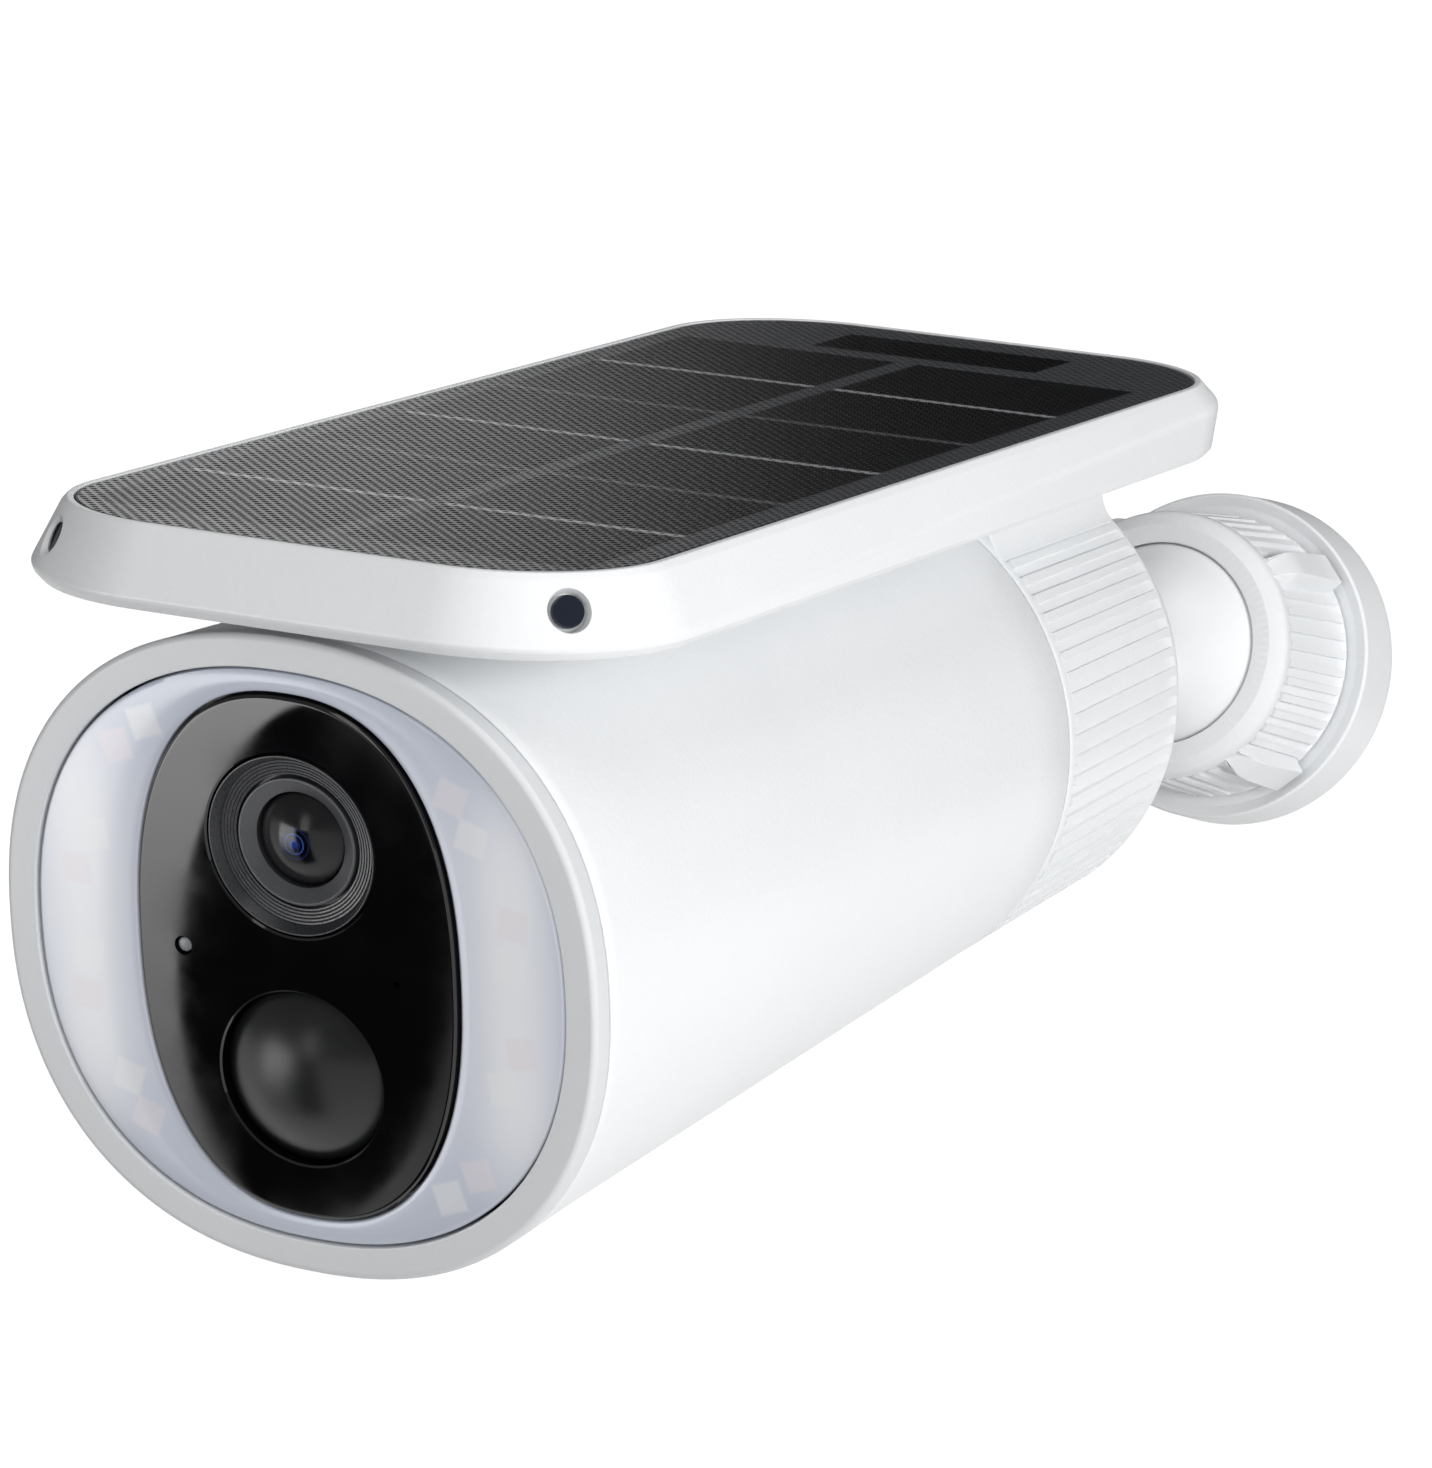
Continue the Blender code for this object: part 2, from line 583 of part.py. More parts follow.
def collar():
    rear = COLLAR_LENGTH
    profile = [
        (COLLAR_FRONT_RADIUS, 0.3),
        (COLLAR_FRONT_RADIUS - 0.3, 0),
        (COLLAR_BORE, 0),
        (COLLAR_BORE, rear),
        (COLLAR_REAR_RADIUS - 0.4, rear),
        (COLLAR_REAR_RADIUS, rear - 0.4),
    ]
    ring = finish("collar", turned(profile, FINE_STEPS), white, collar_axis)
    loops = []
    for y, radius in ((0.8, COLLAR_FRONT_RADIUS), (rear - 0.6, COLLAR_REAR_RADIUS)):
        middle = y + COLLAR_FRONT - PANEL_MIDDLE
        top = PANEL_TOP - middle * math.tan(math.radians(PANEL_PITCH)) - PANEL_DEPTH + 1.3 - GAP
        foot = math.radians(NECK_FOOT_ANGLE)
        start = Vector((radius * math.sin(foot), radius * math.cos(foot)))
        knee = Vector((NECK_HALF_WIDTH, start.y + (start.x - NECK_HALF_WIDTH) * math.tan(math.radians(90) - foot)))
        side = [start, start.lerp(knee, 0.55), Vector((NECK_HALF_WIDTH, knee.y + 2.0)), Vector((NECK_HALF_WIDTH, top))]
        outline = [(v.x, y, v.y) for v in side] + [(-v.x, y, v.y) for v in reversed(side)]
        inner = COLLAR_BORE + 1.2
        under = [math.radians(a) for a in (-34, -17, 0, 17, 34)]
        outline += [(inner * math.sin(a), y, inner * math.cos(a)) for a in under]
        loops.append(outline)
    neck = finish("add_neck", lofted(loops), white, collar_axis)
    boolean(ring, neck, "UNION")
    channel = block((-6, 12, SLEEVE_RADIUS - 3), (6, 24, PANEL_TOP))
    boolean(ring, finish("cut_cable_channel", channel, white, collar_axis), "DIFFERENCE")


def gears():
    outer = SLEEVE_RADIUS
    tip = RING_PITCH_RADIUS - 0.8 * GEAR_MODULE
    root = RING_PITCH_RADIUS + 1.1 * GEAR_MODULE
    front = GEAR_FRONT - COLLAR_FRONT
    space = gear_outline(RING_TEETH, tip, root, GEAR_BACKLASH, 1, -math.pi / 2)
    count = len(space)
    rim = [(outer * math.cos(a), outer * math.sin(a)) for a in (math.atan2(z, x) for x, z in space)]
    loops = [flat_loop(p, y) for p, y in ((rim, front), (rim, front + GEAR_WIDTH))]
    loops += [flat_loop(p, y) for p, y in ((space, front + GEAR_WIDTH), (space, front))]
    assert len(rim) == count
    finish("ring_gear", lofted(loops, ring=True), nylon, collar_axis, crease=20)
    pinion_root = PINION_PITCH_RADIUS - 1.1 * GEAR_MODULE
    pinion_tip = PINION_PITCH_RADIUS + 0.8 * GEAR_MODULE
    teeth = gear_outline(PINION_TEETH, pinion_root, pinion_tip, 0, 3, -math.pi / 2)
    loops = [flat_loop(teeth, 0.4), flat_loop(teeth, GEAR_WIDTH - 0.4)]
    pinion = finish("drive_gear", lofted(loops), nylon, pinion_axis, crease=20)
    bore = finish("cut_pinion_bore", pegs([(0, 0)], 1.5 + GAP, -2, GEAR_WIDTH + 2, 20), nylon, pinion_axis)
    boolean(pinion, bore, "DIFFERENCE")
    finish("motor_shaft", turned(rod(1.5, -9, GEAR_WIDTH), 12), steel, pinion_axis)


def motor():
    rear = SLEEVE_END - 4.5
    place = (0, 0, -PINION_DROP)
    case = [(0, rear - 30), (6, rear - 30), (6, rear), (1.8, rear), (1.8, rear - 4.5), (0, rear - 4.5)]
    finish("gear_motor", turned(case, 20), steel, camera_axis, place)
    edge = SLEEVE_RADIUS - SLEEVE_WALL - GAP
    disc = turned([(5, rear + GAP), (edge, rear + GAP), (edge, rear + 3.3), (5, rear + 3.3)], FINE_STEPS)
    bracket = finish("motor_bracket", disc, black, camera_axis)
    corners = [(x, z) for x in (-SCREW_PITCH_HALF, SCREW_PITCH_HALF) for z in (-SCREW_PITCH_HALF, SCREW_PITCH_HALF)]
    posts = pegs(corners, 3.0, rear + 2, COVER_FRONT - GAP, 11)
    boolean(bracket, finish("add_posts", posts, black, camera_axis), "UNION")
    holes = pegs(corners, 1.8, COVER_FRONT - 6, COVER_FRONT + 2, 9)
    boolean(bracket, finish("cut_post_holes", holes, black, camera_axis), "DIFFERENCE")
    shaft = pegs([(0, -PINION_DROP)], 1.8, rear - 5, rear + 8, 20)
    boolean(bracket, finish("cut_shaft_hole", shaft, black, camera_axis), "DIFFERENCE")


# ---------------------------------------------------------------- solar panel

def panel():
    outline = panel_outline(-GAP)
    laminate = [[(x, y, z) for x, y in outline] for z in (0, -LAMINATE_THICKNESS)]
    finish("solar_laminate", lofted(laminate), solar, panel_axis)
    floor = LAMINATE_THICKNESS + GAP
    loops = [
        panel_loop(0, 0, floor, floor),
        panel_loop(0, 0, -0.1, -0.1),
        panel_loop(0.8, 0.8, -0.1, -0.1),
        panel_loop(1.5, 1.5, 0.7, 0.7),
        panel_loop(5.0, 3.3, 8.0, 2.3),
        panel_loop(4.6, 2.6, PANEL_DEPTH - 1.1, PANEL_DEPTH - 1.1),
        panel_loop(3.5, 1.6, PANEL_DEPTH, PANEL_DEPTH),
        panel_loop(1.7, -0.2, PANEL_DEPTH, PANEL_DEPTH),
        panel_loop(0.4, -0.8, floor + 1.6, floor + 1.6),
    ]
    housing = finish("panel_housing", lofted(loops), white, panel_axis, crease=30)
    sensor_windows(housing)
    inside = panel_outline(-1.6)
    top = PANEL_DEPTH - 2.8
    bottom = PANEL_DEPTH - 1.3
    cover = [[(x, y, z) for x, y in inside] for z in (-top, -bottom)]
    cover = finish("panel_back_cover", lofted(cover), white, panel_axis)
    middle = COLLAR_FRONT + 18 - PANEL_MIDDLE
    hole = block((-5, middle - 5, -PANEL_DEPTH - 3), (5, middle + 5, -PANEL_DEPTH + 5))
    boolean(cover, finish("cut_cover_cable", hole, white, panel_axis), "DIFFERENCE")
    board = block((-17, 22, -6.3), (17, 50, -5.1))
    finish("charge_board", board, board_green, panel_axis)


def sensor_windows(housing):
    """A light sensor looks out of a funnel in each corner of the skirt."""
    reach = PANEL_CORNER / math.sqrt(2)
    for end, lean in ((-1, 22), (1, 4)):
        for side in (-1, 1):
            depth = 4.0 if end < 0 else 4.6
            grown = 2.7 if end < 0 else 2.6
            corner = Vector((side * (PANEL_HALF_WIDTH - PANEL_CORNER), end * (PANEL_LENGTH / 2 - PANEL_CORNER), 0))
            out = Vector((side, end, 0)).normalized()
            skin = corner + out * (reach * math.sqrt(2) + grown) + Vector((0, 0, -depth))
            look = Matrix.Rotation(math.radians(lean), 3, out.cross(Vector((0, 0, 1)))) @ out
            name = ("front" if end < 0 else "rear") + ("_left" if side < 0 else "_right")
            turn = look.to_track_quat("Y", "Z").to_euler()
            funnel = turned([(0, -1.2), (2.25, -1.2), (3.6, 3.5), (0, 3.5)], 16)
            funnel = finish("cut_funnel_" + name, funnel, white, panel_axis, skin)
            funnel.rotation_euler = turn
            boolean(housing, funnel, "DIFFERENCE")
            window = turned(rod(SENSOR_RADIUS, -0.9, -0.1), 16)
            window = finish("sun_sensor_" + name, window, navy, panel_axis, skin)
            window.rotation_euler = turn


# ---------------------------------------------------------------- rear cover and mount

def rear_cover():
    bore = SHANK_RADIUS + GAP
    rim = COLLAR_REAR + GAP
    tail_end = BALL_BEHIND_FACE - 24.2
    bell = [(0, 0, 31.8), (4.4, -0.2, 30.8), (8.9, -1.0, 28.0), (13.4, -2.4, 24.2), (18.4, -4.4, 19.9)]
    bell += [(24.4, -7.0, 15.6), (31.4, -9.2, 12.2), (39.4, -10.2, 10.2)]
    outside = [round_loop(COVER_FRONT, SLEEVE_RADIUS), round_loop(rim, SLEEVE_RADIUS)]
    outside += [round_loop(rim + y, radius, z) for y, z, radius in bell]
    outside.append(round_loop(tail_end, 8.6, -BALL_DROP))
    inside = [round_loop(tail_end, bore, -BALL_DROP), round_loop(rim + 26.5, bore, -BALL_DROP)]
    inside += [round_loop(rim + y, radius - 3.0, z) for y, z, radius in ((25.5, -7.4, 14.9), *reversed(bell[1:5]))]
    inside.append(round_loop(COVER_FRONT, SLEEVE_RADIUS - SLEEVE_WALL))
    cover = finish("rear_cover", lofted(outside + inside, ring=True), white, camera_axis)
    corners = [(x, z) for x in (-SCREW_PITCH_HALF, SCREW_PITCH_HALF) for z in (-SCREW_PITCH_HALF, SCREW_PITCH_HALF)]
    boss_end = rim + 12.5
    bosses = pegs([c for c in corners if c[1] > 0], 4.0, COVER_FRONT, boss_end + 1, 11)
    boolean(cover, finish("add_upper_bosses", bosses, white, camera_axis), "UNION")
    bosses = pegs([c for c in corners if c[1] < 0], 4.0, COVER_FRONT, boss_end + 5, 11)
    boolean(cover, finish("add_lower_bosses", bosses, white, camera_axis), "UNION")
    recess = pegs(corners, 3.1, boss_end, boss_end + 30, 11)
    boolean(cover, finish("cut_recesses", recess, white, camera_axis), "DIFFERENCE")
    holes = pegs(corners, 1.8, COVER_FRONT - 2, boss_end + 2, 9)
    boolean(cover, finish("cut_screw_holes", holes, white, camera_axis), "DIFFERENCE")
    for number, (x, z) in enumerate(corners, 1):
        rear = boss_end + GAP
        tip = COVER_FRONT - 5
        screw = [(0, tip), (1.4, tip), (1.4, rear), (2.7, rear), (2.7, rear + 1.6), (1.2, rear + 2.1)]
        screw += [(1.2, rear + 0.9), (0, rear + 0.9)]
        finish(f"rear_screw_{number}", turned(screw, 10), steel, camera_axis, (x, 0, z))
    nut_rear = rim + 25.5 - 2.0
    nut = finish("stud_nut", turned(rod(6.6, nut_rear - 4, nut_rear), 6), brass, camera_axis, (0, 0, -BALL_DROP))
    thread = pegs([(0, -BALL_DROP)], SHANK_RADIUS + GAP, nut_rear - 9, nut_rear + 5, 20)
    boolean(nut, finish("cut_nut_thread", thread, brass, camera_axis), "DIFFERENCE")


def ball_stud():
    neck = 5.6
    flange = -24.2
    cavity = 9.5
    neck_angle = 180 - math.degrees(math.asin(neck / BALL_RADIUS))
    bore_angle = 180 - math.degrees(math.asin(2.0 / cavity))
    shank_front = flange - 32
    profile = arc(cavity, 0, 0, bore_angle, 7)
    profile += [(2.0, shank_front), (SHANK_RADIUS, shank_front), (SHANK_RADIUS, flange + GAP), (8.3, flange + GAP)]
    profile += [(8.3, flange + 1.6), (6.2, flange + 4.4)]
    profile += arc(BALL_RADIUS, 0, neck_angle, 0, 12)
    finish("ball_stud", turned(profile, ROUND_STEPS), gloss_white, ball_axis)
    hole = 1.0
    start = math.degrees(math.asin(hole / 5.3))
    shell = arc(5.3, 0, 180 - start, 0, 6)
    outer_start = 180 - math.degrees(math.asin(hole / 9.0))
    shell = list(reversed(shell)) + list(reversed(arc(9.0, 0, 0, outer_start, 8)))
    finish("ball_insert_outer", turned(shell, 20), steel, ball_axis)
    finish("ball_insert_core", turned(arc(4.9, 0, 0, 180, 6), 16), steel, ball_axis)


def wall_mount():
    """Turned pieces on the mount's axis; y is negative in front of the wall."""
    plate = turned(rod(20.0, -3.0, 0), FINE_STEPS)
    plate = finish("wall_plate", plate, grey, wall_axis)
    holes = [(12 * math.cos(a), 12 * math.sin(a)) for a in (math.radians(90 + 120 * k) for k in range(3))]
    boolean(plate, finish("cut_plate_holes", pegs(holes, 2.2, -6, 3, 12), grey, wall_axis), "DIFFERENCE")
    ball = -BALL_TO_WALL
    pocket = 7.4
    pocket_angle = math.degrees(math.asin(pocket / BALL_CUP))
    cup = arc(BALL_CUP, ball, pocket_angle, 90, 5)
    base = [(0, ball + BALL_CUP + 1.4), (pocket, ball + BALL_CUP + 1.4)] + cup
    base += [(BALL_CUP, ball - 1.3), (18.2, ball - 1.3), (18.2, -9.0), (20.9, -9.0), (24.2, -BASE_DEPTH)]
    base += [(24.5, -BASE_DEPTH + 0.3), (BASE_RADIUS, 0), (20.3, 0), (20.3, -3.3), (0, -3.3)]
    finish("wall_base", turned(base, FINE_STEPS), white, wall_axis)
    pad_angle = math.degrees(math.asin(7.1 / BALL_CUP))
    pad = arc(BALL_CUP, ball, 0, pad_angle, 4) + [(7.1, ball + BALL_CUP + 1.1), (0, ball + BALL_CUP + 1.1)]
    finish("ball_pad", turned(pad, 24), rubber, wall_axis)
    lock_ring(ball)


def lock_ring(ball):
    mouth_angle = 180 - math.degrees(math.asin(RING_MOUTH_RADIUS / BALL_CUP))
    mouth = ball + BALL_CUP * math.cos(math.radians(mouth_angle))
    step = ball - 1.6
    step_angle = math.degrees(math.acos((step - ball) / BALL_CUP))
    profile = arc(BALL_CUP, ball, mouth_angle, step_angle, 3)
    profile += [(18.5, step), (18.5, -9.4), (21.2, -9.4), (19.8, mouth + 2.1), (19.3, mouth + 1.1), (17.6, mouth)]
    ring = finish("lock_ring", turned(profile, FINE_STEPS), white, wall_axis)
    tabs = bmesh.new()
    for k in range(4):
        angle = math.radians(42 + 90 * k)
        rear = -10.4
        front = mouth + 3.2
        loops = []
        for y, out, half in ((rear, 23.0, 2.6), (rear - 8.0, 22.4, 2.3), (front, 20.0, 1.2)):
            inner = 19.2
            corners = ((inner, -half - 0.9), (out, -half), (out, half), (inner, half + 0.9))
            turn = Matrix.Rotation(-angle, 3, "Y")
            loops.append([turn @ Vector((r, y, s)) for r, s in corners])
        one = lofted(loops)
        mesh = bpy.data.meshes.new("tab")
        bmesh.ops.recalc_face_normals(one, faces=one.faces)
        one.to_mesh(mesh)
        one.free()
        tabs.from_mesh(mesh)
        bpy.data.meshes.remove(mesh)
    boolean(ring, finish("add_tabs", tabs, white, wall_axis), "UNION")


main_shell()
front_bezel()
light_diffuser()
front_glass()
lens_group()
sensor_group()
motion_sensor()
front_inner_pieces()
battery()
boards()
port_group()
port_cover()
collar()
gears()
motor()
panel()
rear_cover()
ball_stud()
wall_mount()
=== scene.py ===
import math

import bmesh
import bpy
from mathutils import Matrix, Vector


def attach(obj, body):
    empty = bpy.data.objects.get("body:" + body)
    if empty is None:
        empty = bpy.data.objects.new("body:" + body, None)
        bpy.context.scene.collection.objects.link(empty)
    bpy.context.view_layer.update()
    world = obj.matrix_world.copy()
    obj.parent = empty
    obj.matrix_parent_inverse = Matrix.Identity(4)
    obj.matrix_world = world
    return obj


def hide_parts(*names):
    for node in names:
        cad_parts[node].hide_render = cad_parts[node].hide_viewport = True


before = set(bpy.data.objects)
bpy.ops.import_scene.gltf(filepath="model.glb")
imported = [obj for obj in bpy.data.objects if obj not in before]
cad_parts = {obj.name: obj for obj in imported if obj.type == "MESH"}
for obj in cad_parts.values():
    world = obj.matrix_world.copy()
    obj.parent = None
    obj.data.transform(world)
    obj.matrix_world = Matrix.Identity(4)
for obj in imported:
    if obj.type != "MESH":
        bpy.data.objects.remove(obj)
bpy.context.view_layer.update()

mm = 0.001
bpy.context.scene.view_settings.view_transform = "Standard"

# where the camera, its face, its panel, the ball and the wall mount stand, in millimetres
mount = {
    "pitch": 15.4, "ballToWall": 24.2, "ballBehindFace": 258.2, "ballDrop": 10.4,
    "faceTilt": 7.4, "panelTilt": 1.2, "panelBack": 91.3, "panelRise": 48.5, "lensRise": 14.3,
    "motionDrop": 15.1,
}
pitch = math.radians(mount["pitch"])
ballCentre = Vector((0, -mount["ballToWall"] * math.cos(pitch), mount["ballToWall"] * math.sin(pitch)))
faceCentre = ballCentre + Vector((0, -mount["ballBehindFace"], mount["ballDrop"]))
wallPlace = Matrix.Rotation(-pitch, 4, "X")
ballPlace = Matrix.Translation(ballCentre)
bodyPlace = Matrix.Translation(faceCentre)
facePlace = bodyPlace @ Matrix.Rotation(math.radians(mount["faceTilt"]), 4, "X")
panelShift = Vector((0, mount["panelBack"], mount["panelRise"]))
panelTurn = Matrix.Rotation(math.radians(-mount["panelTilt"]), 4, "X")
panelPlace = bodyPlace @ Matrix.Translation(panelShift) @ panelTurn
print("frame loaded:", len(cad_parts), "nodes")


# ways of working

def activate(piece):
    if bpy.context.object and bpy.context.object.mode != "OBJECT":
        bpy.ops.object.mode_set(mode="OBJECT")
    bpy.ops.object.select_all(action="DESELECT")
    piece.select_set(True)
    bpy.context.view_layer.objects.active = piece


def loftRings(name, rings, closed=False):
    # a circle extruded from ring to ring; closed joins last to first, otherwise both ends are filled
    bpy.ops.object.select_all(action="DESELECT")
    bpy.ops.mesh.primitive_circle_add(vertices=len(rings[0]), radius=1)
    piece = bpy.context.object
    piece.name = piece.data.name = name
    bpy.ops.object.mode_set(mode="EDIT")
    mesh = bmesh.from_edit_mesh(piece.data)
    column = mesh.verts.layers.int.new("column")
    mesh.verts.ensure_lookup_table()
    for number, corner in enumerate(mesh.verts):
        corner[column] = number
        corner.co = rings[0][number]
    for ring in rings[1:] + ([rings[0]] if closed else []):
        bpy.ops.mesh.extrude_edges_move()
        mesh = bmesh.from_edit_mesh(piece.data)
        column = mesh.verts.layers.int["column"]
        for corner in [v for v in mesh.verts if v.select]:
            corner.co = ring[corner[column]]
    bmesh.update_edit_mesh(piece.data)
    bpy.ops.mesh.select_all(action="SELECT")
    bpy.ops.mesh.remove_doubles(threshold=0.0005)
    if not closed:
        bpy.ops.mesh.select_all(action="DESELECT")
        bpy.ops.mesh.select_non_manifold(
            extend=False, use_wire=False, use_multi_face=False, use_non_contiguous=False, use_verts=False,
        )
        bpy.ops.mesh.edge_face_add()
    bpy.ops.mesh.select_all(action="SELECT")
    bpy.ops.mesh.normals_make_consistent(inside=False)
    bpy.ops.object.mode_set(mode="OBJECT")
    return piece


def softened(corners, steps=4, closed=True):
    # rounds each (across, along, radius) corner of an outline
    points = []
    for number, (across, along, radius) in enumerate(corners):
        here = Vector((across, along))
        ends = not closed and number in (0, len(corners) - 1)
        if radius == 0 or ends:
            points.append((across, along))
            continue
        before = Vector(corners[number - 1][:2]) - here
        after = Vector(corners[(number + 1) % len(corners)][:2]) - here
        reach = min(radius / math.tan(before.angle(after) / 2), 0.48 * before.length, 0.48 * after.length)
        start = here + before.normalized() * reach
        finish = here + after.normalized() * reach
        for step in range(steps + 1):
            share = step / steps
            point = start * (1 - share) ** 2 + here * 2 * share * (1 - share) + finish * share ** 2
            points.append((point.x, point.y))
    return points


def turnedPiece(name, corners, segments, middle=(0, 0), closed=True, steps=4):
    # (radius, depth, rounding) corners turned about the depth axis; a profile from axis to axis isn't closed
    profile = softened(corners, steps, closed)
    turns = [2 * math.pi * number / segments for number in range(segments)]
    rings = [
        [(middle[0] + radius * math.cos(a), depth, middle[1] + radius * math.sin(a)) for a in turns]
        for radius, depth in profile
    ]
    return loftRings(name, rings, closed)


def roundPeg(name, x, z, radius, front, rear, segments=48):
    return turnedPiece(name, [
        (0, front, 0), (radius, front, 0), (radius, rear, 0), (0, rear, 0),
    ], segments, (x, z), False)


def roundedBlock(name, low, high, radius, axis="Z", segments=6):
    # a block whose edges along one axis are rounded
    size = Vector(high) - Vector(low)
    bpy.ops.object.select_all(action="DESELECT")
    bpy.ops.mesh.primitive_cube_add(size=1, location=(Vector(high) + Vector(low)) / 2)
    piece = bpy.context.object
    piece.name = name
    piece.scale = size
    bpy.ops.object.transform_apply(location=True, rotation=True, scale=True)
    bpy.ops.object.mode_set(mode="EDIT")
    bpy.ops.mesh.select_all(action="DESELECT")
    bpy.ops.mesh.select_mode(type="EDGE")
    mesh = bmesh.from_edit_mesh(piece.data)
    along = "XYZ".index(axis)
    for edge in mesh.edges:
        edge.select = abs((edge.verts[0].co - edge.verts[1].co).normalized()[along]) > 0.9
    bmesh.update_edit_mesh(piece.data)
    bpy.ops.mesh.bevel(offset=radius, segments=segments, affect="EDGES")
    bpy.ops.mesh.select_mode(type="VERT")
    bpy.ops.object.mode_set(mode="OBJECT")
    return piece


def duplicate(piece, name):
    other = piece.copy()
    other.data = piece.data.copy()
    other.name = other.data.name = name
    bpy.context.scene.collection.objects.link(other)
    return other


def combine(piece, other, operation="DIFFERENCE"):
    activate(piece)
    step = piece.modifiers.new("combine", "BOOLEAN")
    step.operation = operation
    step.solver = "EXACT"
    step.object = other
    bpy.ops.object.modifier_apply(modifier=step.name)
    bpy.data.objects.remove(other)
    return piece


def softenEdges(piece, width, angle=35, segments=3):
    activate(piece)
    step = piece.modifiers.new("soften", "BEVEL")
    step.width = width
    step.segments = segments
    step.limit_method = "ANGLE"
    step.angle_limit = math.radians(angle)
    bpy.ops.object.modifier_apply(modifier=step.name)
    return piece


def settle(piece, place, body, look, slotName, *nodes, angle=30, flatFaces=False):
    # millimetres on the piece's own axes become metres in the room
    activate(piece)
    piece.matrix_world = Matrix.Scale(mm, 4) @ place
    bpy.ops.object.transform_apply(location=True, rotation=True, scale=True)
    bpy.ops.object.shade_smooth_by_angle(angle=math.radians(angle))
    if flatFaces:
        # large faces keep their own normals, and the narrow edges round them do the bending
        step = piece.modifiers.new("weigh", "WEIGHTED_NORMAL")
        step.keep_sharp = True
        step.weight = 90
        bpy.ops.object.modifier_apply(modifier=step.name)
    piece.data.materials.clear()
    piece.data.materials.append(look)
    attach(piece, body)
    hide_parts(*nodes)
    return piece


def oval(halfWidth, halfHeight, squareness, count):
    points = []
    for number in range(count):
        c = math.cos(2 * math.pi * number / count)
        s = math.sin(2 * math.pi * number / count)
        x = halfWidth * math.copysign(abs(c) ** (2 / squareness), c)
        z = halfHeight * math.copysign(abs(s) ** (2 / squareness), s)
        points.append((x, z))
    return points


# materials

def linear(text, alpha=1.0):
    channels = [int(text[i:i + 2], 16) / 255 for i in (0, 2, 4)]
    return tuple(c / 12.92 if c <= 0.04045 else ((c + 0.055) / 1.055) ** 2.4 for c in channels) + (alpha,)


def addNode(look, kind, inputs=None, give=0, **settings):
    # linked sockets, set values (hex text is a colour), and one output given back
    node = look.node_tree.nodes.new("ShaderNode" + kind)
    for name, value in settings.items():
        setattr(node, name, value)
    for name, value in (inputs or {}).items():
        if isinstance(value, bpy.types.NodeSocket):
            look.node_tree.links.new(value, node.inputs[name])
        else:
            node.inputs[name].default_value = linear(value) if isinstance(value, str) else value
    return node.outputs[give]


smooth = {"interpolation_type": "SMOOTHSTEP"}
colourMix = {"data_type": "RGBA", "give": 2}


def socketName(key):
    # baseColor is Base Color and ior is IOR
    words = "".join(" " + c if c.isupper() else c for c in key[0].upper() + key[1:])
    return "IOR" if key == "ior" else words.strip()


def newLook(name, shift=(0, 0, 0), tilt=0, **sockets):
    # a shader, and object coordinates in millimetres that are turned and shifted onto a piece's own axes
    look = bpy.data.materials.new(name)
    look.use_nodes = True
    shader = look.node_tree.nodes["Principled BSDF"]
    for key, value in sockets.items():
        shader.inputs[socketName(key)].default_value = value
    place = addNode(look, "TexCoord", give="Object")
    place = addNode(look, "Mapping", {
        "Vector": place, "Location": shift, "Rotation": (math.radians(tilt), 0, 0),
        "Scale": (1000, 1000, 1000),
    })
    return look, shader, place


def feed(look, shader, **sockets):
    for key, value in sockets.items():
        look.node_tree.links.new(value, shader.inputs[socketName(key)])
    return look


def mouldedLook(name, colour, shade, grain, depth, roughness, spread=0.08, **sockets):
    # moulded plastic: a spark-eroded skin whose bumps are grain mm apart, with slow changes of tone and sheen
    look, shader, place = newLook(name, **sockets)
    slow = addNode(look, "TexNoise", {"Vector": place, "Scale": 0.035, "Detail": 3, "Roughness": 0.6})
    fine = addNode(look, "TexNoise", {
        "Vector": place, "Scale": 0.75 / grain, "Detail": 2, "Roughness": 0.65,
    })
    cells = addNode(look, "TexVoronoi", {
        "Vector": place, "Scale": 0.9 / grain, "Randomness": 1.0,
    }, feature="SMOOTH_F1", give="Distance")
    skin = addNode(look, "Math", {0: fine, 1: cells}, operation="ADD")
    tone = addNode(look, "Math", {0: slow, 1: 0.75}, operation="MULTIPLY")
    tone = addNode(look, "Math", {0: cells, 1: 0.35, 2: tone}, operation="MULTIPLY_ADD")
    mixed = addNode(look, "Mix", {0: tone, 6: colour, 7: shade}, **colourMix)
    rough = addNode(look, "MapRange", {
        "Value": fine, "From Min": 0.3, "From Max": 0.7, "To Min": roughness - spread,
        "To Max": roughness + spread,
    })
    bump = addNode(look, "Bump", {"Height": skin, "Strength": 0.6, "Distance": depth * mm})
    return feed(look, shader, baseColor=mixed, roughness=rough, normal=bump)


print("materials")
# white ASA, matt and weatherproof, with a fine eroded skin that softens every highlight
whiteAsa = mouldedLook("white_asa_eroded", "F4F5F6", "ECEEF0", 0.55, 0.035, 0.40, ior=1.52)
# grey ABS rim, smoother than the shell, a satin highlight
greyAbs = mouldedLook("grey_abs_satin", "DEE0E2", "D6D8DA", 0.4, 0.012, 0.42, ior=1.54)
# polished white ABS of the ball: a soft gloss
glossWhiteAbs = mouldedLook(
    "white_abs_polished", "F6F6F7", "F3F4F5", 0.9, 0.0012, 0.32, 0.01, ior=1.5, coatWeight=0.1,
    coatRoughness=0.2,
)
# black PC of lens rings and inner frames: satin, faint grain
blackPc = mouldedLook("black_polycarbonate_satin", "141517", "1D1E20", 0.35, 0.015, 0.38, ior=1.58)
# dark grey barrel: fine bead-blasted black, lighter where it catches the light
barrelBlack = mouldedLook("bead_blasted_barrel", "404145", "37383B", 0.25, 0.02, 0.36, ior=1.5)
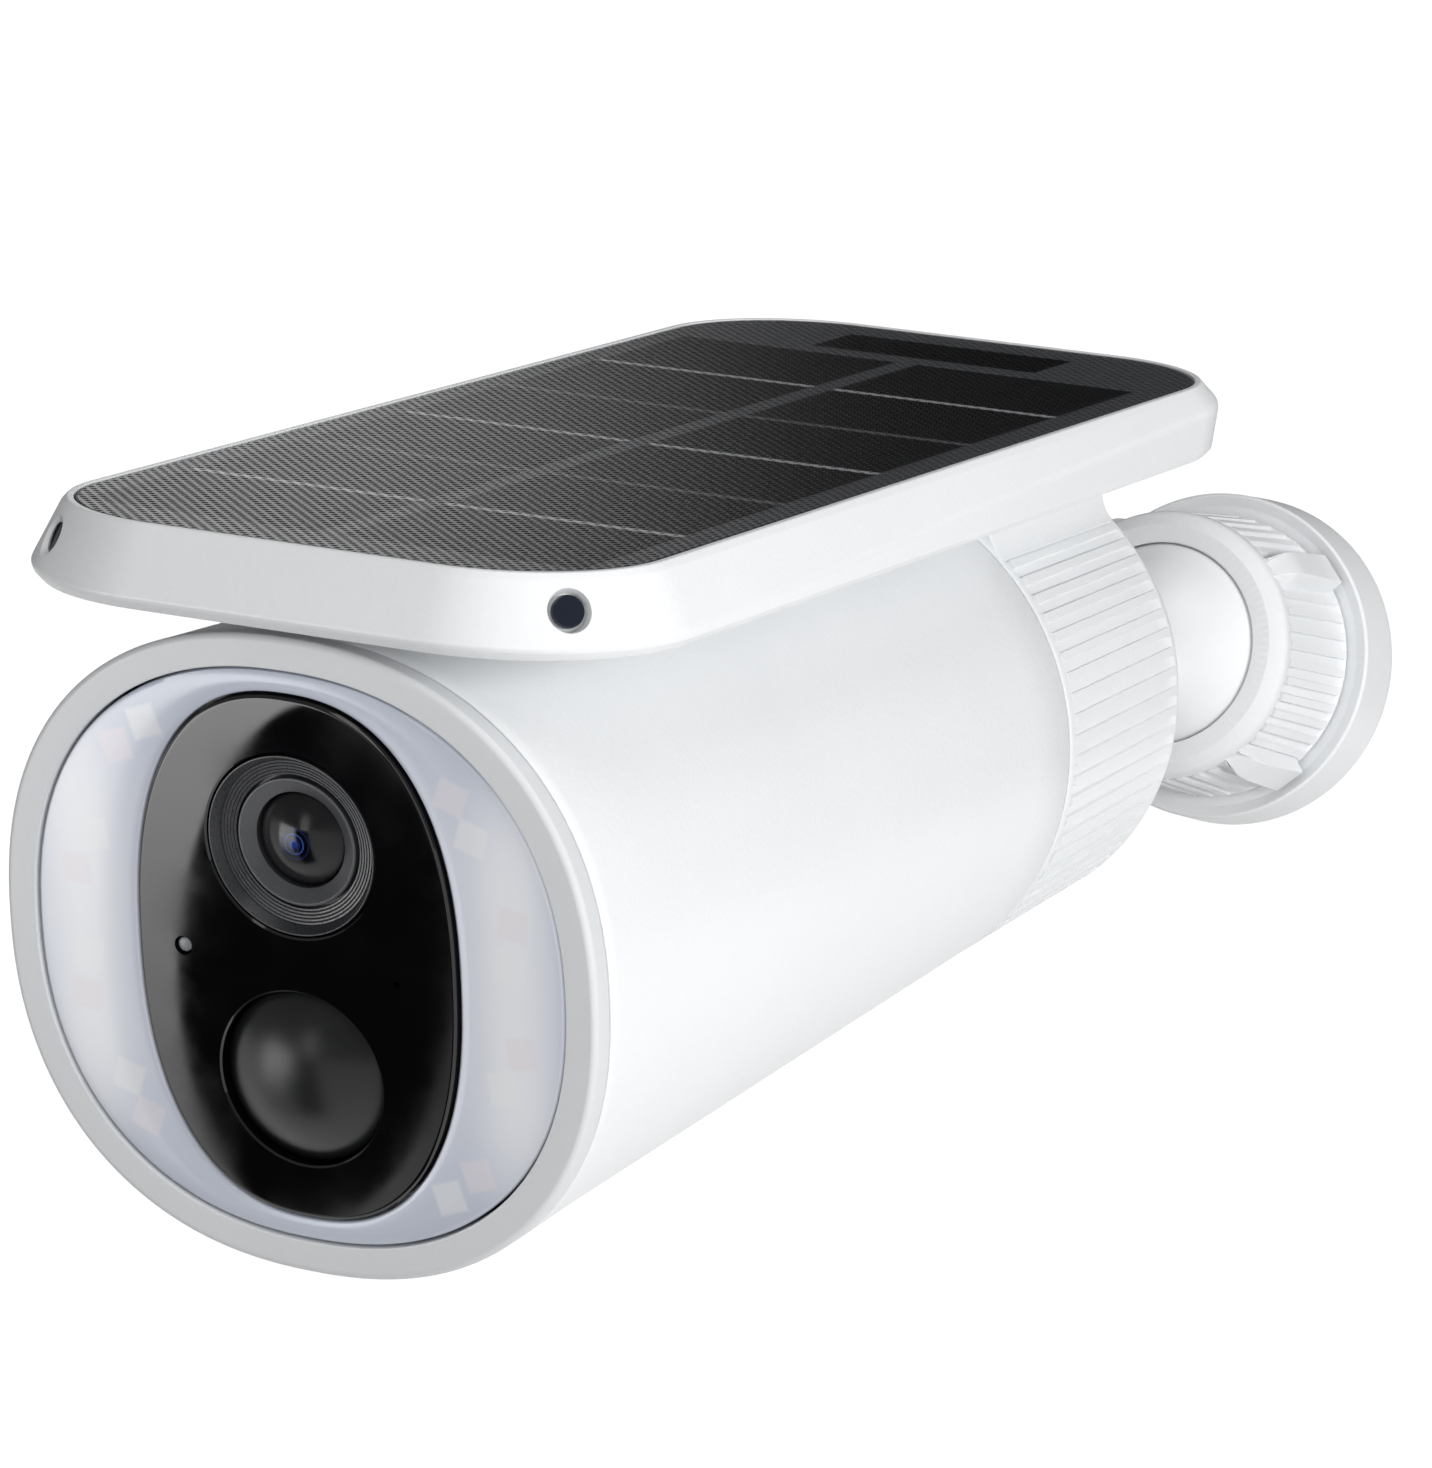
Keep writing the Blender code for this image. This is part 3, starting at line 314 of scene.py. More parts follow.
# the grooved recess round it: moulded black, a satin sheen on each land
grooveBlack = mouldedLook("grooved_black_recess", "26272A", "2D2E31", 0.3, 0.01, 0.32, ior=1.55)
# white silicone flap, dull and soft
whiteSilicone = mouldedLook("white_silicone_matt", "E9EAEA", "E0E1E2", 0.5, 0.03, 0.62, ior=1.41)
# dark rubber of pads and seals
darkRubber = mouldedLook("epdm_rubber_dull", "333538", "292B2D", 0.6, 0.05, 0.78, ior=1.5)
# natural nylon gear stock: waxy, slightly yellow
nylonWaxy = mouldedLook("nylon_natural_waxy", "E7E4DA", "DDD9CC", 0.8, 0.015, 0.45, ior=1.53)
# white solder mask of the light board: a bright, even satin
whiteBoard = mouldedLook("white_solder_mask", "EEF0F0", "E2E6E6", 0.7, 0.01, 0.4, ior=1.5)


def metalLook(name, colour, shade, direction, roughness):
    # drawn or machined metal: fine lines run along one axis
    look, shader, place = newLook(name, metallic=1.0)
    lines = addNode(look, "Mapping", {"Vector": place, "Scale": direction})
    drawn = addNode(look, "TexNoise", {"Vector": lines, "Scale": 1.0, "Detail": 4, "Roughness": 0.6})
    mixed = addNode(look, "Mix", {0: drawn, 6: colour, 7: shade}, **colourMix)
    rough = addNode(look, "MapRange", {
        "Value": drawn, "From Min": 0.3, "From Max": 0.7, "To Min": roughness - 0.08,
        "To Max": roughness + 0.1,
    })
    bump = addNode(look, "Bump", {"Height": drawn, "Strength": 0.4, "Distance": 0.01 * mm})
    return feed(look, shader, baseColor=mixed, roughness=rough, normal=bump)


# zinc-plated steel: pale, with drawing lines 0.3 mm apart
zincSteel = metalLook("zinc_plated_steel", "BCC0C4", "A4A8AD", (3.3, 0.3, 3.3), 0.30)
# turned brass: warm, with tool lines 0.25 mm apart
turnedBrass = metalLook("turned_brass", "C9A458", "B08A42", (0.4, 4, 0.4), 0.28)
# pressed motor can: bright nickel
nickelCan = metalLook("nickel_motor_can", "C9CBCD", "B2B5B8", (2.5, 0.25, 2.5), 0.24)


def boardLook():
    # glass epoxy under solder mask: woven glass shows as 0.5 mm squares, copper tracks as paler lines
    look, shader, place = newLook("epoxy_board_green_mask", ior=1.5, coatWeight=0.3, coatRoughness=0.2)
    weave = addNode(look, "TexChecker", {"Vector": place, "Scale": 2.0}, give=1)
    tracks = addNode(look, "TexBrick", {
        "Vector": place, "Scale": 0.6, "Mortar Size": 0.08, "Color1": (0, 0, 0, 1), "Color2": (0, 0, 0, 1),
        "Mortar": (1, 1, 1, 1),
    }, give=1)
    first = addNode(look, "Mix", {0: weave, 6: "1C5A35", 7: "184F2F"}, **colourMix)
    mixed = addNode(look, "Mix", {0: tracks, 6: first, 7: "2F7A4A"}, **colourMix)
    bump = addNode(look, "Bump", {"Height": tracks, "Strength": 0.5, "Distance": 0.03 * mm})
    rough = addNode(look, "MapRange", {"Value": weave, "To Min": 0.36, "To Max": 0.46})
    return feed(look, shader, baseColor=mixed, roughness=rough, normal=bump)


def cellLook():
    # shrink-wrapped battery: thin PVC with faint creases
    look, shader, place = newLook("cell_shrink_wrap", ior=1.52, coatWeight=0.4, coatRoughness=0.15)
    place = addNode(look, "Mapping", {"Vector": place, "Scale": (1, 0.18, 1)})
    creases = addNode(look, "TexNoise", {"Vector": place, "Scale": 0.25, "Detail": 4, "Distortion": 0.6})
    mixed = addNode(look, "Mix", {0: creases, 6: "2E5FA8", 7: "26528F"}, **colourMix)
    bump = addNode(look, "Bump", {"Height": creases, "Strength": 0.4, "Distance": 0.08 * mm})
    rough = addNode(look, "MapRange", {"Value": creases, "To Min": 0.28, "To Max": 0.42})
    return feed(look, shader, baseColor=mixed, roughness=rough, normal=bump)


boardGreen = boardLook()
cellWrap = cellLook()


def glassLook(name, colour, shade, roughness, **sockets):
    # polished glass or clear-coated plastic over black: near-perfect surface, slight dust and polish marks
    look, shader, place = newLook(name, **sockets)
    haze = addNode(look, "TexNoise", {"Vector": place, "Scale": 0.09, "Detail": 5, "Roughness": 0.55})
    mixed = addNode(look, "Mix", {0: haze, 6: colour, 7: shade}, **colourMix)
    rough = addNode(look, "MapRange", {
        "Value": haze, "From Min": 0.35, "From Max": 0.7, "To Min": roughness, "To Max": roughness + 0.05,
    })
    return feed(look, shader, baseColor=mixed, roughness=rough)


# black-printed cover glass: deep black, mirror gloss
coverGlass = glassLook("black_printed_glass", "08080A", "0B0B0D", 0.02, ior=1.52)
# infrared-passing polyethylene dome: near black, softer gloss
infraredPe = glassLook("infrared_polyethylene", "0A0B0D", "0E0F11", 0.30, ior=1.42)
# sensor window: navy filter glass
navyGlass = glassLook("navy_filter_glass", "131A28", "0E1420", 0.12, ior=1.52)
# infrared filter slide
filterGlass = glassLook("infrared_filter_glass", "2A1016", "220C12", 0.08, ior=1.52)


def lensLook(middle):
    # multi-coated lens: black, with painted reflections of its inner elements: a blue core and thin blue and
    # violet rings deep in its middle
    look, shader, place = newLook("coated_lens_painted_glints", middle, -mount["faceTilt"], ior=1.38)
    flat = addNode(look, "VectorMath", {0: place, 1: (1, 0, 1)}, operation="MULTIPLY")
    radius = addNode(look, "VectorMath", {0: flat}, operation="LENGTH", give="Value")
    # painted glints: two thin rings and a blue core stand in for reflections of the inner lens elements
    paintedGlintRingOne = addNode(look, "Math", {0: radius, 1: 1.25, 2: 0.09}, operation="COMPARE")
    paintedGlintRingTwo = addNode(look, "Math", {0: radius, 1: 1.9, 2: 0.1}, operation="COMPARE")
    core = addNode(look, "MapRange", {"Value": radius, "From Min": 1.1, "From Max": 0.0}, **smooth)
    first = addNode(look, "Mix", {0: core, 6: "08090D", 7: "24408F"}, **colourMix)
    second = addNode(look, "Mix", {0: paintedGlintRingOne, 6: first, 7: "2F4C96"}, **colourMix)
    mixed = addNode(look, "Mix", {0: paintedGlintRingTwo, 6: second, 7: "151F45"}, **colourMix)
    rough = addNode(look, "MapRange", {
        "Value": radius, "From Min": 1.5, "From Max": 5.4, "To Min": 0.08, "To Max": 0.34,
    })
    return feed(look, shader, baseColor=mixed, roughness=rough)


turnBack = Matrix.Rotation(math.radians(-mount["faceTilt"]), 3, "X")
faceShift = -(turnBack @ faceCentre)
lensPaintedGlints = lensLook(faceShift - Vector((0, 0, mount["lensRise"])))


def diffuserLook():
    # milky PMMA light guide: cool white, with a painted lighter band along the middle of each side and
    # painted shade towards its top and bottom, and faint squares where the LEDs sit
    led = {"side": 1.95, "edge": 0.35, "strength": 0.42}
    ring = {"middle": 28.9, "paintedShadeStart": 12, "paintedShadeEnd": 33}
    places = (
        (-19.4, 27.0, 20, "F8F8F6"), (-23.4, 23.5, 18, "F3E8ED"),
        (-27.2, 11.8, 8, "F8F8F6"), (-29.8, 7.1, 4, "F3E8ED"),
        (-28.8, -3.7, -3, "F8F8F6"), (-29.3, -8.9, -6, "F3E8ED"),
        (-24.2, -18.8, -16, "F8F8F6"), (-21.7, -23.5, -20, "F3E8ED"),
    )
    look, shader, place = newLook(
        "milky_pmma_light_guide", faceShift, -mount["faceTilt"], ior=1.49, roughness=0.3, coatWeight=0.6,
        coatRoughness=0.12,
    )
    axes = addNode(look, "SeparateXYZ", {0: place}).node.outputs
    across = addNode(look, "Math", {0: axes[0]}, operation="ABSOLUTE")
    side = addNode(look, "Math", {0: axes[0]}, operation="SIGN")
    up = addNode(look, "Math", {0: axes[2], 1: side}, operation="MULTIPLY")
    left = addNode(look, "Math", {0: across, 1: -1.0}, operation="MULTIPLY")
    upLeft = addNode(look, "Math", {0: up, 1: -1.0}, operation="MULTIPLY")
    folded = addNode(look, "CombineXYZ", {0: left, 1: upLeft})
    # painted light: lighter along the middle of each side; painted shade: darker and cooler towards the top
    # and bottom edges
    height = addNode(look, "Math", {0: axes[2]}, operation="ABSOLUTE")
    # painted shade mask, rising from mid height towards the top and bottom
    rim = addNode(look, "MapRange", {
        "Value": height, "From Min": ring["paintedShadeStart"], "From Max": ring["paintedShadeEnd"],
    }, **smooth)
    # painted light mask: 1 along the middle of each side, fading over 7.5 mm either way
    spread = addNode(look, "Math", {0: across, 1: ring["middle"]}, operation="SUBTRACT")
    spread = addNode(look, "Math", {0: spread}, operation="ABSOLUTE")
    middle = addNode(look, "MapRange", {"Value": spread, "From Min": 7.5, "From Max": 0.5}, **smooth)
    paintedShadeTone = addNode(look, "Mix", {0: rim, 6: "DCE0EC", 7: "C6CCDA"}, **colourMix)
    inverse = addNode(look, "Math", {0: 1.0, 1: rim}, operation="SUBTRACT")
    middle = addNode(look, "Math", {0: middle, 1: inverse}, operation="MULTIPLY")
    # the painted lighter band, F3F5FA, laid along the middle of each side
    colour = addNode(look, "Mix", {0: middle, 6: paintedShadeTone, 7: "F3F5FA"}, **colourMix)
    for x, z, turn, tint in places:
        square = addNode(look, "Mapping", {
            "Vector": folded, "Location": (x, z, 0), "Rotation": (0, 0, math.radians(turn)),
        }, vector_type="TEXTURE")
        square = addNode(look, "VectorMath", {0: square}, operation="ABSOLUTE")
        parts = addNode(look, "SeparateXYZ", {0: square}).node.outputs
        reach = addNode(look, "Math", {0: parts[0], 1: parts[1]}, operation="MAXIMUM")
        mask = addNode(look, "MapRange", {
            "Value": reach, "From Min": led["side"] + led["edge"], "From Max": led["side"] - led["edge"],
            "To Max": led["strength"],
        }, **smooth)
        colour = addNode(look, "Mix", {0: mask, 6: colour, 7: tint}, **colourMix)
    ripple = addNode(look, "TexNoise", {"Vector": place, "Scale": 1.2, "Detail": 2})
    bump = addNode(look, "Bump", {"Height": ripple, "Strength": 0.3, "Distance": 0.01 * mm})
    return feed(look, shader, baseColor=colour, normal=bump)


def laminateLook():
    # monocrystalline cells under an embossed film: dark cells, lighter ribbon lines, dimples 1.75 mm apart
    dimples = {"pitch": 1.75, "reach": 0.30, "core": 0.1}
    cell = {
        "edge": 33.8, "ribbon": 1.35, "centre": -8.35, "end": 78.7, "pitch": 26.15, "line": 0.95, "gap": 0.5,
    }
    controlCell = {"centre": 80.2, "halfLength": 6.1, "halfWidth": 16.7}
    turn = Matrix.Rotation(math.radians(mount["panelTilt"]), 3, "X")
    shift = -(turn @ (faceCentre + panelShift))
    look, shader, place = newLook("embossed_solar_film", shift, mount["panelTilt"], ior=1.5)
    axes = addNode(look, "SeparateXYZ", {0: place}).node.outputs
    across = addNode(look, "Math", {0: axes[0]}, operation="ABSOLUTE")
    along = axes[1]
    # two sets of dimples, the second half a pitch off
    fields = []
    for offset in (0.0, 0.5):
        grid = addNode(look, "Mapping", {
            "Vector": place, "Location": (offset, offset, 0),
            "Scale": (1 / dimples["pitch"], 1 / dimples["pitch"], 0),
        })
        grid = addNode(look, "VectorMath", {0: grid}, operation="FRACTION")
        grid = addNode(look, "VectorMath", {0: grid, 1: (0.5, 0.5, 0)}, operation="SUBTRACT")
        fields.append(addNode(look, "VectorMath", {0: grid}, operation="LENGTH", give="Value"))
    near = addNode(look, "Math", {0: fields[0], 1: fields[1]}, operation="MINIMUM")
    dot = addNode(look, "MapRange", {
        "Value": near, "From Min": dimples["reach"], "From Max": dimples["core"],
    }, **smooth)
    # the cells' area, the ribbon down the middle and the rows between cells
    inside = addNode(look, "MapRange", {
        "Value": across, "From Min": cell["edge"], "From Max": cell["edge"] - cell["gap"],
    })
    ribbon = addNode(look, "MapRange", {
        "Value": across, "From Min": cell["ribbon"], "From Max": cell["ribbon"] + 0.4,
    })
    lengthwise = addNode(look, "Math", {0: along, 1: cell["centre"]}, operation="SUBTRACT")
    lengthwise = addNode(look, "Math", {0: lengthwise}, operation="ABSOLUTE")
    ends = addNode(look, "MapRange", {
        "Value": lengthwise, "From Min": cell["end"], "From Max": cell["end"] - cell["gap"],
    })
    solid = addNode(look, "Math", {0: along, 1: 8.3}, operation="ADD")
    solid = addNode(look, "Math", {0: solid, 1: cell["pitch"]}, operation="PINGPONG")
    solidLine = addNode(look, "MapRange", {
        "Value": solid, "From Min": cell["line"], "From Max": cell["line"] - cell["gap"],
    })
    faintLine = addNode(look, "MapRange", {
        "Value": solid, "From Min": cell["pitch"] - 0.95, "From Max": cell["pitch"] - 0.55,
    })
    cells = addNode(look, "Math", {0: inside, 1: ribbon}, operation="MULTIPLY")
    cells = addNode(look, "Math", {0: cells, 1: ends}, operation="MULTIPLY")
    base = addNode(look, "Mix", {0: cells, 6: "5A5B5E", 7: "222325"}, **colourMix)
    lineMask = addNode(look, "Math", {0: solidLine, 1: cells}, operation="MULTIPLY")
    base = addNode(look, "Mix", {0: lineMask, 6: base, 7: "B4B5B8"}, **colourMix)
    faint = addNode(look, "Math", {0: faintLine, 1: cells}, operation="MULTIPLY")
    faint = addNode(look, "Math", {0: faint, 1: 0.55}, operation="MULTIPLY")
    base = addNode(look, "Mix", {0: faint, 6: base, 7: "86878A"}, **colourMix)
    # the control cell near the rear end
    backEnd = addNode(look, "Math", {
        0: along, 1: controlCell["centre"], 2: controlCell["halfLength"],
    }, operation="COMPARE")
    control = addNode(look, "Math", {0: across, 1: controlCell["halfWidth"]}, operation="LESS_THAN")
    control = addNode(look, "Math", {0: backEnd, 1: control}, operation="MULTIPLY")
    base = addNode(look, "Mix", {0: control, 6: base, 7: "17181A"}, **colourMix)
    dotMask = addNode(look, "Math", {0: dot, 1: 0.85}, operation="MULTIPLY")
    colour = addNode(look, "Mix", {0: dotMask, 6: base, 7: "060607"}, **colourMix)
    grain = addNode(look, "TexNoise", {"Vector": place, "Scale": 0.9, "Detail": 3})
    relief = addNode(look, "Math", {0: dot, 1: -1.0, 2: grain}, operation="MULTIPLY_ADD")
    bump = addNode(look, "Bump", {"Height": relief, "Strength": 0.8, "Distance": 0.09 * mm})
    rough = addNode(look, "MapRange", {"Value": dot, "To Min": 0.27, "To Max": 0.7})
    return feed(look, shader, baseColor=colour, roughness=rough, normal=bump)


diffuser = diffuserLook()
solarFilm = laminateLook()
# status light: a frosted grey lens
statusLens = glassLook("frosted_status_lens", "8E9094", "7C7E82", 0.3, ior=1.49)


# body outline, as the CAD gives it: an oval at the face that becomes round at the collar

bodyShape = {
    "faceWidth": 40.0, "faceHeight": 39.8, "rearRadius": 34.4, "squareness": 2.26, "length": 143.2,
    "wall": 2.2, "columns": 192,
}
tiltCos = math.cos(math.radians(mount["faceTilt"]))
tiltSin = math.sin(math.radians(mount["faceTilt"]))


def bodyOval(y, inset=0.0):
    share = min(max(y / bodyShape["length"], 0), 1)
    width, height, rear = bodyShape["faceWidth"], bodyShape["faceHeight"], bodyShape["rearRadius"]
    halfWidth = width + (rear - width) * share - inset
    halfHeight = height + (rear - height) * share - inset
    squareness = bodyShape["squareness"] + (2 - bodyShape["squareness"]) * share
    return oval(halfWidth, halfHeight, squareness, bodyShape["columns"])


def levelRing(y, inset=0.0):
    return [(x, y, z) for x, z in bodyOval(y, inset)]


def faceRing(depth, inset=0.0):
    return [(x, (depth - z * tiltSin) / tiltCos, z) for x, z in bodyOval(depth, inset)]


def facePlaneRing(halfWidth, halfHeight, squareness, depth):
    points = oval(halfWidth, halfHeight, squareness, bodyShape["columns"])
    return [(x, depth * tiltCos - z * tiltSin, depth * tiltSin + z * tiltCos) for x, z in points]


def roundRing(y, radius, middle=0.0, columns=None):
    points = oval(radius, radius, 2, columns or bodyShape["columns"])
    return [(x, y, z + middle) for x, z in points]


def blendRings(first, last, share):
    return [tuple(Vector(a).lerp(Vector(b), share)) for a, b in zip(first, last)]


def buildShell():
    shell = {"front": 3.9, "edge": 0.35, "sleeve": 29.6, "sleeveEnd": 161.7, "wall": 2.2}
    length, edge, wall = bodyShape["length"], shell["edge"], shell["wall"]
    start = faceRing(shell["front"])
    firstLevel = levelRing(22)
    rings = [
        faceRing(shell["front"], 0.45), faceRing(shell["front"] + 0.1, 0.14),
        faceRing(shell["front"] + edge),
    ]
    rings += [blendRings(start, firstLevel, share) for share in (0.12, 0.25, 0.4, 0.55, 0.7, 0.85)]
    rings += [levelRing(y) for y in (22, 32, 42, 52, 62, 72, 82, 92, 102, 112, 122, 132, length - edge)]
    rings += [levelRing(length - 0.1, 0.1), levelRing(length, edge)]
    radius = shell["sleeve"]
    rings += [
        roundRing(length, radius), roundRing(shell["sleeveEnd"], radius),
        roundRing(shell["sleeveEnd"], radius - wall), roundRing(length - wall, radius - wall),
    ]
    rings += [levelRing(y, wall) for y in (length - wall, 102, 62, 22)] + [faceRing(shell["front"], wall)]
    piece = loftRings("shell_moulding", rings, closed=True)
    combine(piece, roundedBlock("port_cutter", (-11, 98, -45), (11, 124, -20), 2.0))
    # speaker grille: one hole and six round it
    spots = [(0, 0)] + [
        (5 * math.cos(math.radians(60 * k)), 5 * math.sin(math.radians(60 * k)))
        for k in range(6)
    ]
    for x, y in spots:
        hole = roundPeg("speaker_cutter", x, y, 0.9, 0, 16, 24)
        upright = Matrix.Translation((0, 29, -44)) @ Matrix.Rotation(math.radians(90), 4, "X")
        hole.matrix_world = upright @ Matrix.Translation((0, -8, 0))
        combine(piece, hole)
    return settle(piece, bodyPlace, "camera", whiteAsa, "white_plastic", "main_shell", angle=32)


def buildPortCover():
    # the flap is a slice of the same skin, between rounded corners
    rings = [
        levelRing(y, 0.02)
        for y in (96, 103, 110, 117, 126)
    ] + [levelRing(y, 1.8) for y in (126, 117, 110, 103, 96)]
    piece = loftRings("port_flap", rings, closed=True)
    combine(piece, roundedBlock("flap_shape", (-10.7, 98.3, -45), (10.7, 123.7, -20), 1.7), "INTERSECT")
    # a lip for the fingernail, along the front edge
    combine(piece, roundedBlock("lip_cutter", (-4, 97.0, -45), (4, 99.1, -20), 0.8))
    return settle(
        softenEdges(piece, 0.2, 50), bodyPlace, "flap", whiteSilicone, "white_rubber", "port_cover",
        angle=40, flatFaces=True,
    )


def buildBezel():
    bezel = {"depth": 3.6, "round": 0.9, "seamWidth": 35.9, "seamHeight": 36.0}
    curve = [
        (bezel["round"] * (1 - math.sin(a)), bezel["round"] * (1 - math.cos(a)))
        for a in (math.radians(15 * k) for k in range(7))
    ]
    rings = [faceRing(bezel["depth"], 0.3), faceRing(bezel["depth"] - 0.3)]
    rings += [faceRing(depth, inset) for depth, inset in curve]
    for grown, depth in ((0.25, 0), (0.07, 0.07), (0, 0.25), (0, bezel["depth"])):
        width, height = bezel["seamWidth"] + grown, bezel["seamHeight"] + grown
        rings.append(facePlaneRing(width, height, bodyShape["squareness"], depth))
    piece = loftRings("front_rim", rings, closed=True)
    return settle(
        piece, bodyPlace, "camera", greyAbs, "grey_plastic", "front_bezel", angle=40, flatFaces=True,
    )


def flatRing(points, depth):
    return [(x, depth, z) for x, z in points]


def buildDiffuser():
    ring = {
        "outer": (35.6, 35.7, 2.26), "inner": (21.8, 33.1, 2.38), "front": 0.25, "rear": 3.0, "columns": 224,
    }
    outside = oval(*ring["outer"], ring["columns"])
    inside = oval(*ring["inner"], ring["columns"])
    rings = [flatRing(outside, ring["rear"])]
    # from the outer edge to the inner: rounded edges and a crown of 0.15 mm
    for share, depth in (
        (0, 0.9), (0.006, 0.62), (0.03, 0.42), (0.12, 0.34), (0.3, 0.22), (0.5, 0.18), (0.7, 0.22),
        (0.9, 0.33), (0.97, 0.42), (0.995, 0.6), (1, 0.9),
    ):
        points = [
            (a[0] + (b[0] - a[0]) * share, a[1] + (b[1] - a[1]) * share)
            for a, b in zip(outside, inside)
        ]
        rings.append(flatRing(points, depth))
    rings.append(flatRing(inside, ring["rear"]))
    piece = loftRings("light_ring", rings, closed=True)
    return settle(
        piece, facePlace, "camera", diffuser, "diffuser_plastic", "light_diffuser", angle=50, flatFaces=True,
    )


def buildGlass():
    glass = {"halfWidth": 21.5, "halfHeight": 32.8, "squareness": 2.38, "thickness": 2.6, "columns": 224}
    rings = []
    for inset, depth in (
        (0.55, 0.0), (0.35, 0.03), (0.17, 0.1), (0.05, 0.22), (0, 0.4), (0, glass["thickness"]),
    ):
        width, height = glass["halfWidth"] - inset, glass["halfHeight"] - inset
        rings.append(flatRing(oval(width, height, glass["squareness"], glass["columns"]), depth))
    piece = loftRings("cover_glass", rings)
    # the two large holes have a polished chamfer that catches the light
    holes = (("lens_hole", mount["lensRise"], 11.45), ("motion_hole", -mount["motionDrop"], 11.0))
    for name, z, radius in holes:
        profile = [(0, -2, 0), (radius + 2.22, -2, 0), (radius, 0.22, 0), (radius, 6, 0), (0, 6, 0)]
        combine(piece, turnedPiece(name, profile, 96, (0, z), False))
    combine(piece, roundPeg("microphone_hole", 13.5, -0.9, 0.45, -2, 6, 24))
    combine(piece, roundPeg("status_hole", -15.4, -0.5, 1.2, -2, 6, 32))
    return settle(
        piece, facePlace, "camera", coverGlass, "black_glass", "front_glass", angle=20, flatFaces=True,
    )


def buildLens():
    # a sloping recess wall, five fine grooves, a dark gap, then the grey cone round the front element
    lens = {"z": mount["lensRise"], "ring": 11.15, "grooves": 5, "grooveOut": 10.3, "grooveIn": 8.3}
    corners = [(lens["ring"], 0.1, 0.1), (lens["ring"] - 0.18, 0.1, 0.06), (lens["grooveOut"], 1.35, 0.05)]
    pitchAcross = (lens["grooveOut"] - lens["grooveIn"]) / lens["grooves"]
    for groove in range(lens["grooves"]):
        radius = lens["grooveOut"] - pitchAcross * groove
        depth = 1.35 + 0.09 * groove
        corners += [(radius - 0.05, depth + 0.16, 0.03), (radius - 0.13, depth + 0.02, 0.04)]
        corners.append((radius - pitchAcross + 0.03, depth + 0.07, 0.03))
    corners += [(lens["grooveIn"], 2.9, 0), (7.3, 2.9, 0), (7.3, 4.2, 0), (lens["ring"], 4.2, 0)]
    piece = turnedPiece("lens_recess_rings", corners, 112, (0, lens["z"]), steps=2)
    settle(piece, facePlace, "camera", grooveBlack, "black_plastic", "lens_ring", angle=40, flatFaces=True)
    barrel = [
        (7.95, 1.5, 0.12), (7.95, 2.6, 0.1), (6.9, 2.6, 0), (6.9, 15.5, 0), (4.0, 15.5, 0), (4.0, 6.2, 0),
        (5.95, 6.2, 0), (5.95, 2.45, 0.1), (7.6, 1.5, 0.15),
    ]
    piece = turnedPiece("lens_barrel_cone", barrel, 96, (0, lens["z"]))
    settle(piece, facePlace, "camera", barrelBlack, "black_plastic", "lens_barrel", angle=40, flatFaces=True)
    # the front element is part of a ball of 8.8 mm radius
    ball = 8.786
    arcPoints = [
        (ball * math.sin(a), 0.8 + ball * (1 - math.cos(a)), 0)
        for a in (math.asin(5.7 / ball) * k / 16 for k in range(17))
    ]
    piece = turnedPiece(
        "front_element", arcPoints + [(5.7, 5.9, 0), (0, 5.9, 0)], 96, (0, lens["z"]), closed=False,
    )
    settle(piece, facePlace, "camera", lensPaintedGlints, "black_glass", "front_lens", angle=40)


def buildMotionDome():
    dome = {"z": -mount["motionDrop"], "crown": 15.6, "radius": 10.7}
    lift = math.asin((dome["radius"] - 0.6) / dome["crown"])
    centre = 0.9 + dome["crown"] * math.cos(lift)
    outside = [
        (dome["crown"] * math.sin(lift * k / 20), centre - dome["crown"] * math.cos(lift * k / 20), 0)
        for k in range(21)
    ]
    edge = [(10.45, 1.15, 0.1), (10.7, 1.4, 0.15), (10.7, 4.0, 0), (9.4, 4.0, 0)]
    inner = dome["crown"] - 1.1
    start = lift - math.radians(3)
    inside = [
        (inner * math.sin(start * k / 8), centre - inner * math.cos(start * k / 8), 0)
        for k in range(8, -1, -1)
    ]
    piece = turnedPiece("motion_dome", outside + edge + inside, 96, (0, dome["z"]), closed=False)
    settle(piece, facePlace, "camera", infraredPe, "infrared_dome", "pir_dome", angle=40)
    light = [(0, 0.28, 0), (0.6, 0.3, 0), (0.9, 0.42, 0.08), (0.9, 5.5, 0), (0, 5.5, 0)]
    piece = turnedPiece("status_light_lens", light, 32, (-15.4, -0.5), closed=False)
    settle(piece, facePlace, "camera", statusLens, "white_plastic", "status_light", angle=40)


# panel

panelShape = {"halfWidth": 38.05, "halfLength": 94.0, "corner": 18.6, "steps": 24}


def panelOutline(out):
    width, length, corner = panelShape["halfWidth"] + out, panelShape[
        "halfLength"
    ] + out, panelShape["corner"] + out
    points = []
    corners = ((1, 1, 0), (-1, 1, 90), (-1, -1, 180), (1, -1, 270))
    for number, (side, end, start) in enumerate(corners):
        for step in range(panelShape["steps"] + 1):
            a = math.radians(start + 90 * step / panelShape["steps"])
            x = side * (width - corner) + corner * math.cos(a)
            y = end * (length - corner) + corner * math.sin(a)
            points.append((x, y))
        # points along the straight side that follows
        nextSide, nextEnd, _ = corners[(number + 1) % 4]
        last = Vector(points[-1])
        a = math.radians(start + 90)
        following = Vector((nextSide * (width - corner), nextEnd * (length - corner)))
        following += corner * Vector((math.cos(a), math.sin(a)))
        points += [tuple(last.lerp(following, k / 8)) for k in range(1, 8)]
    return points


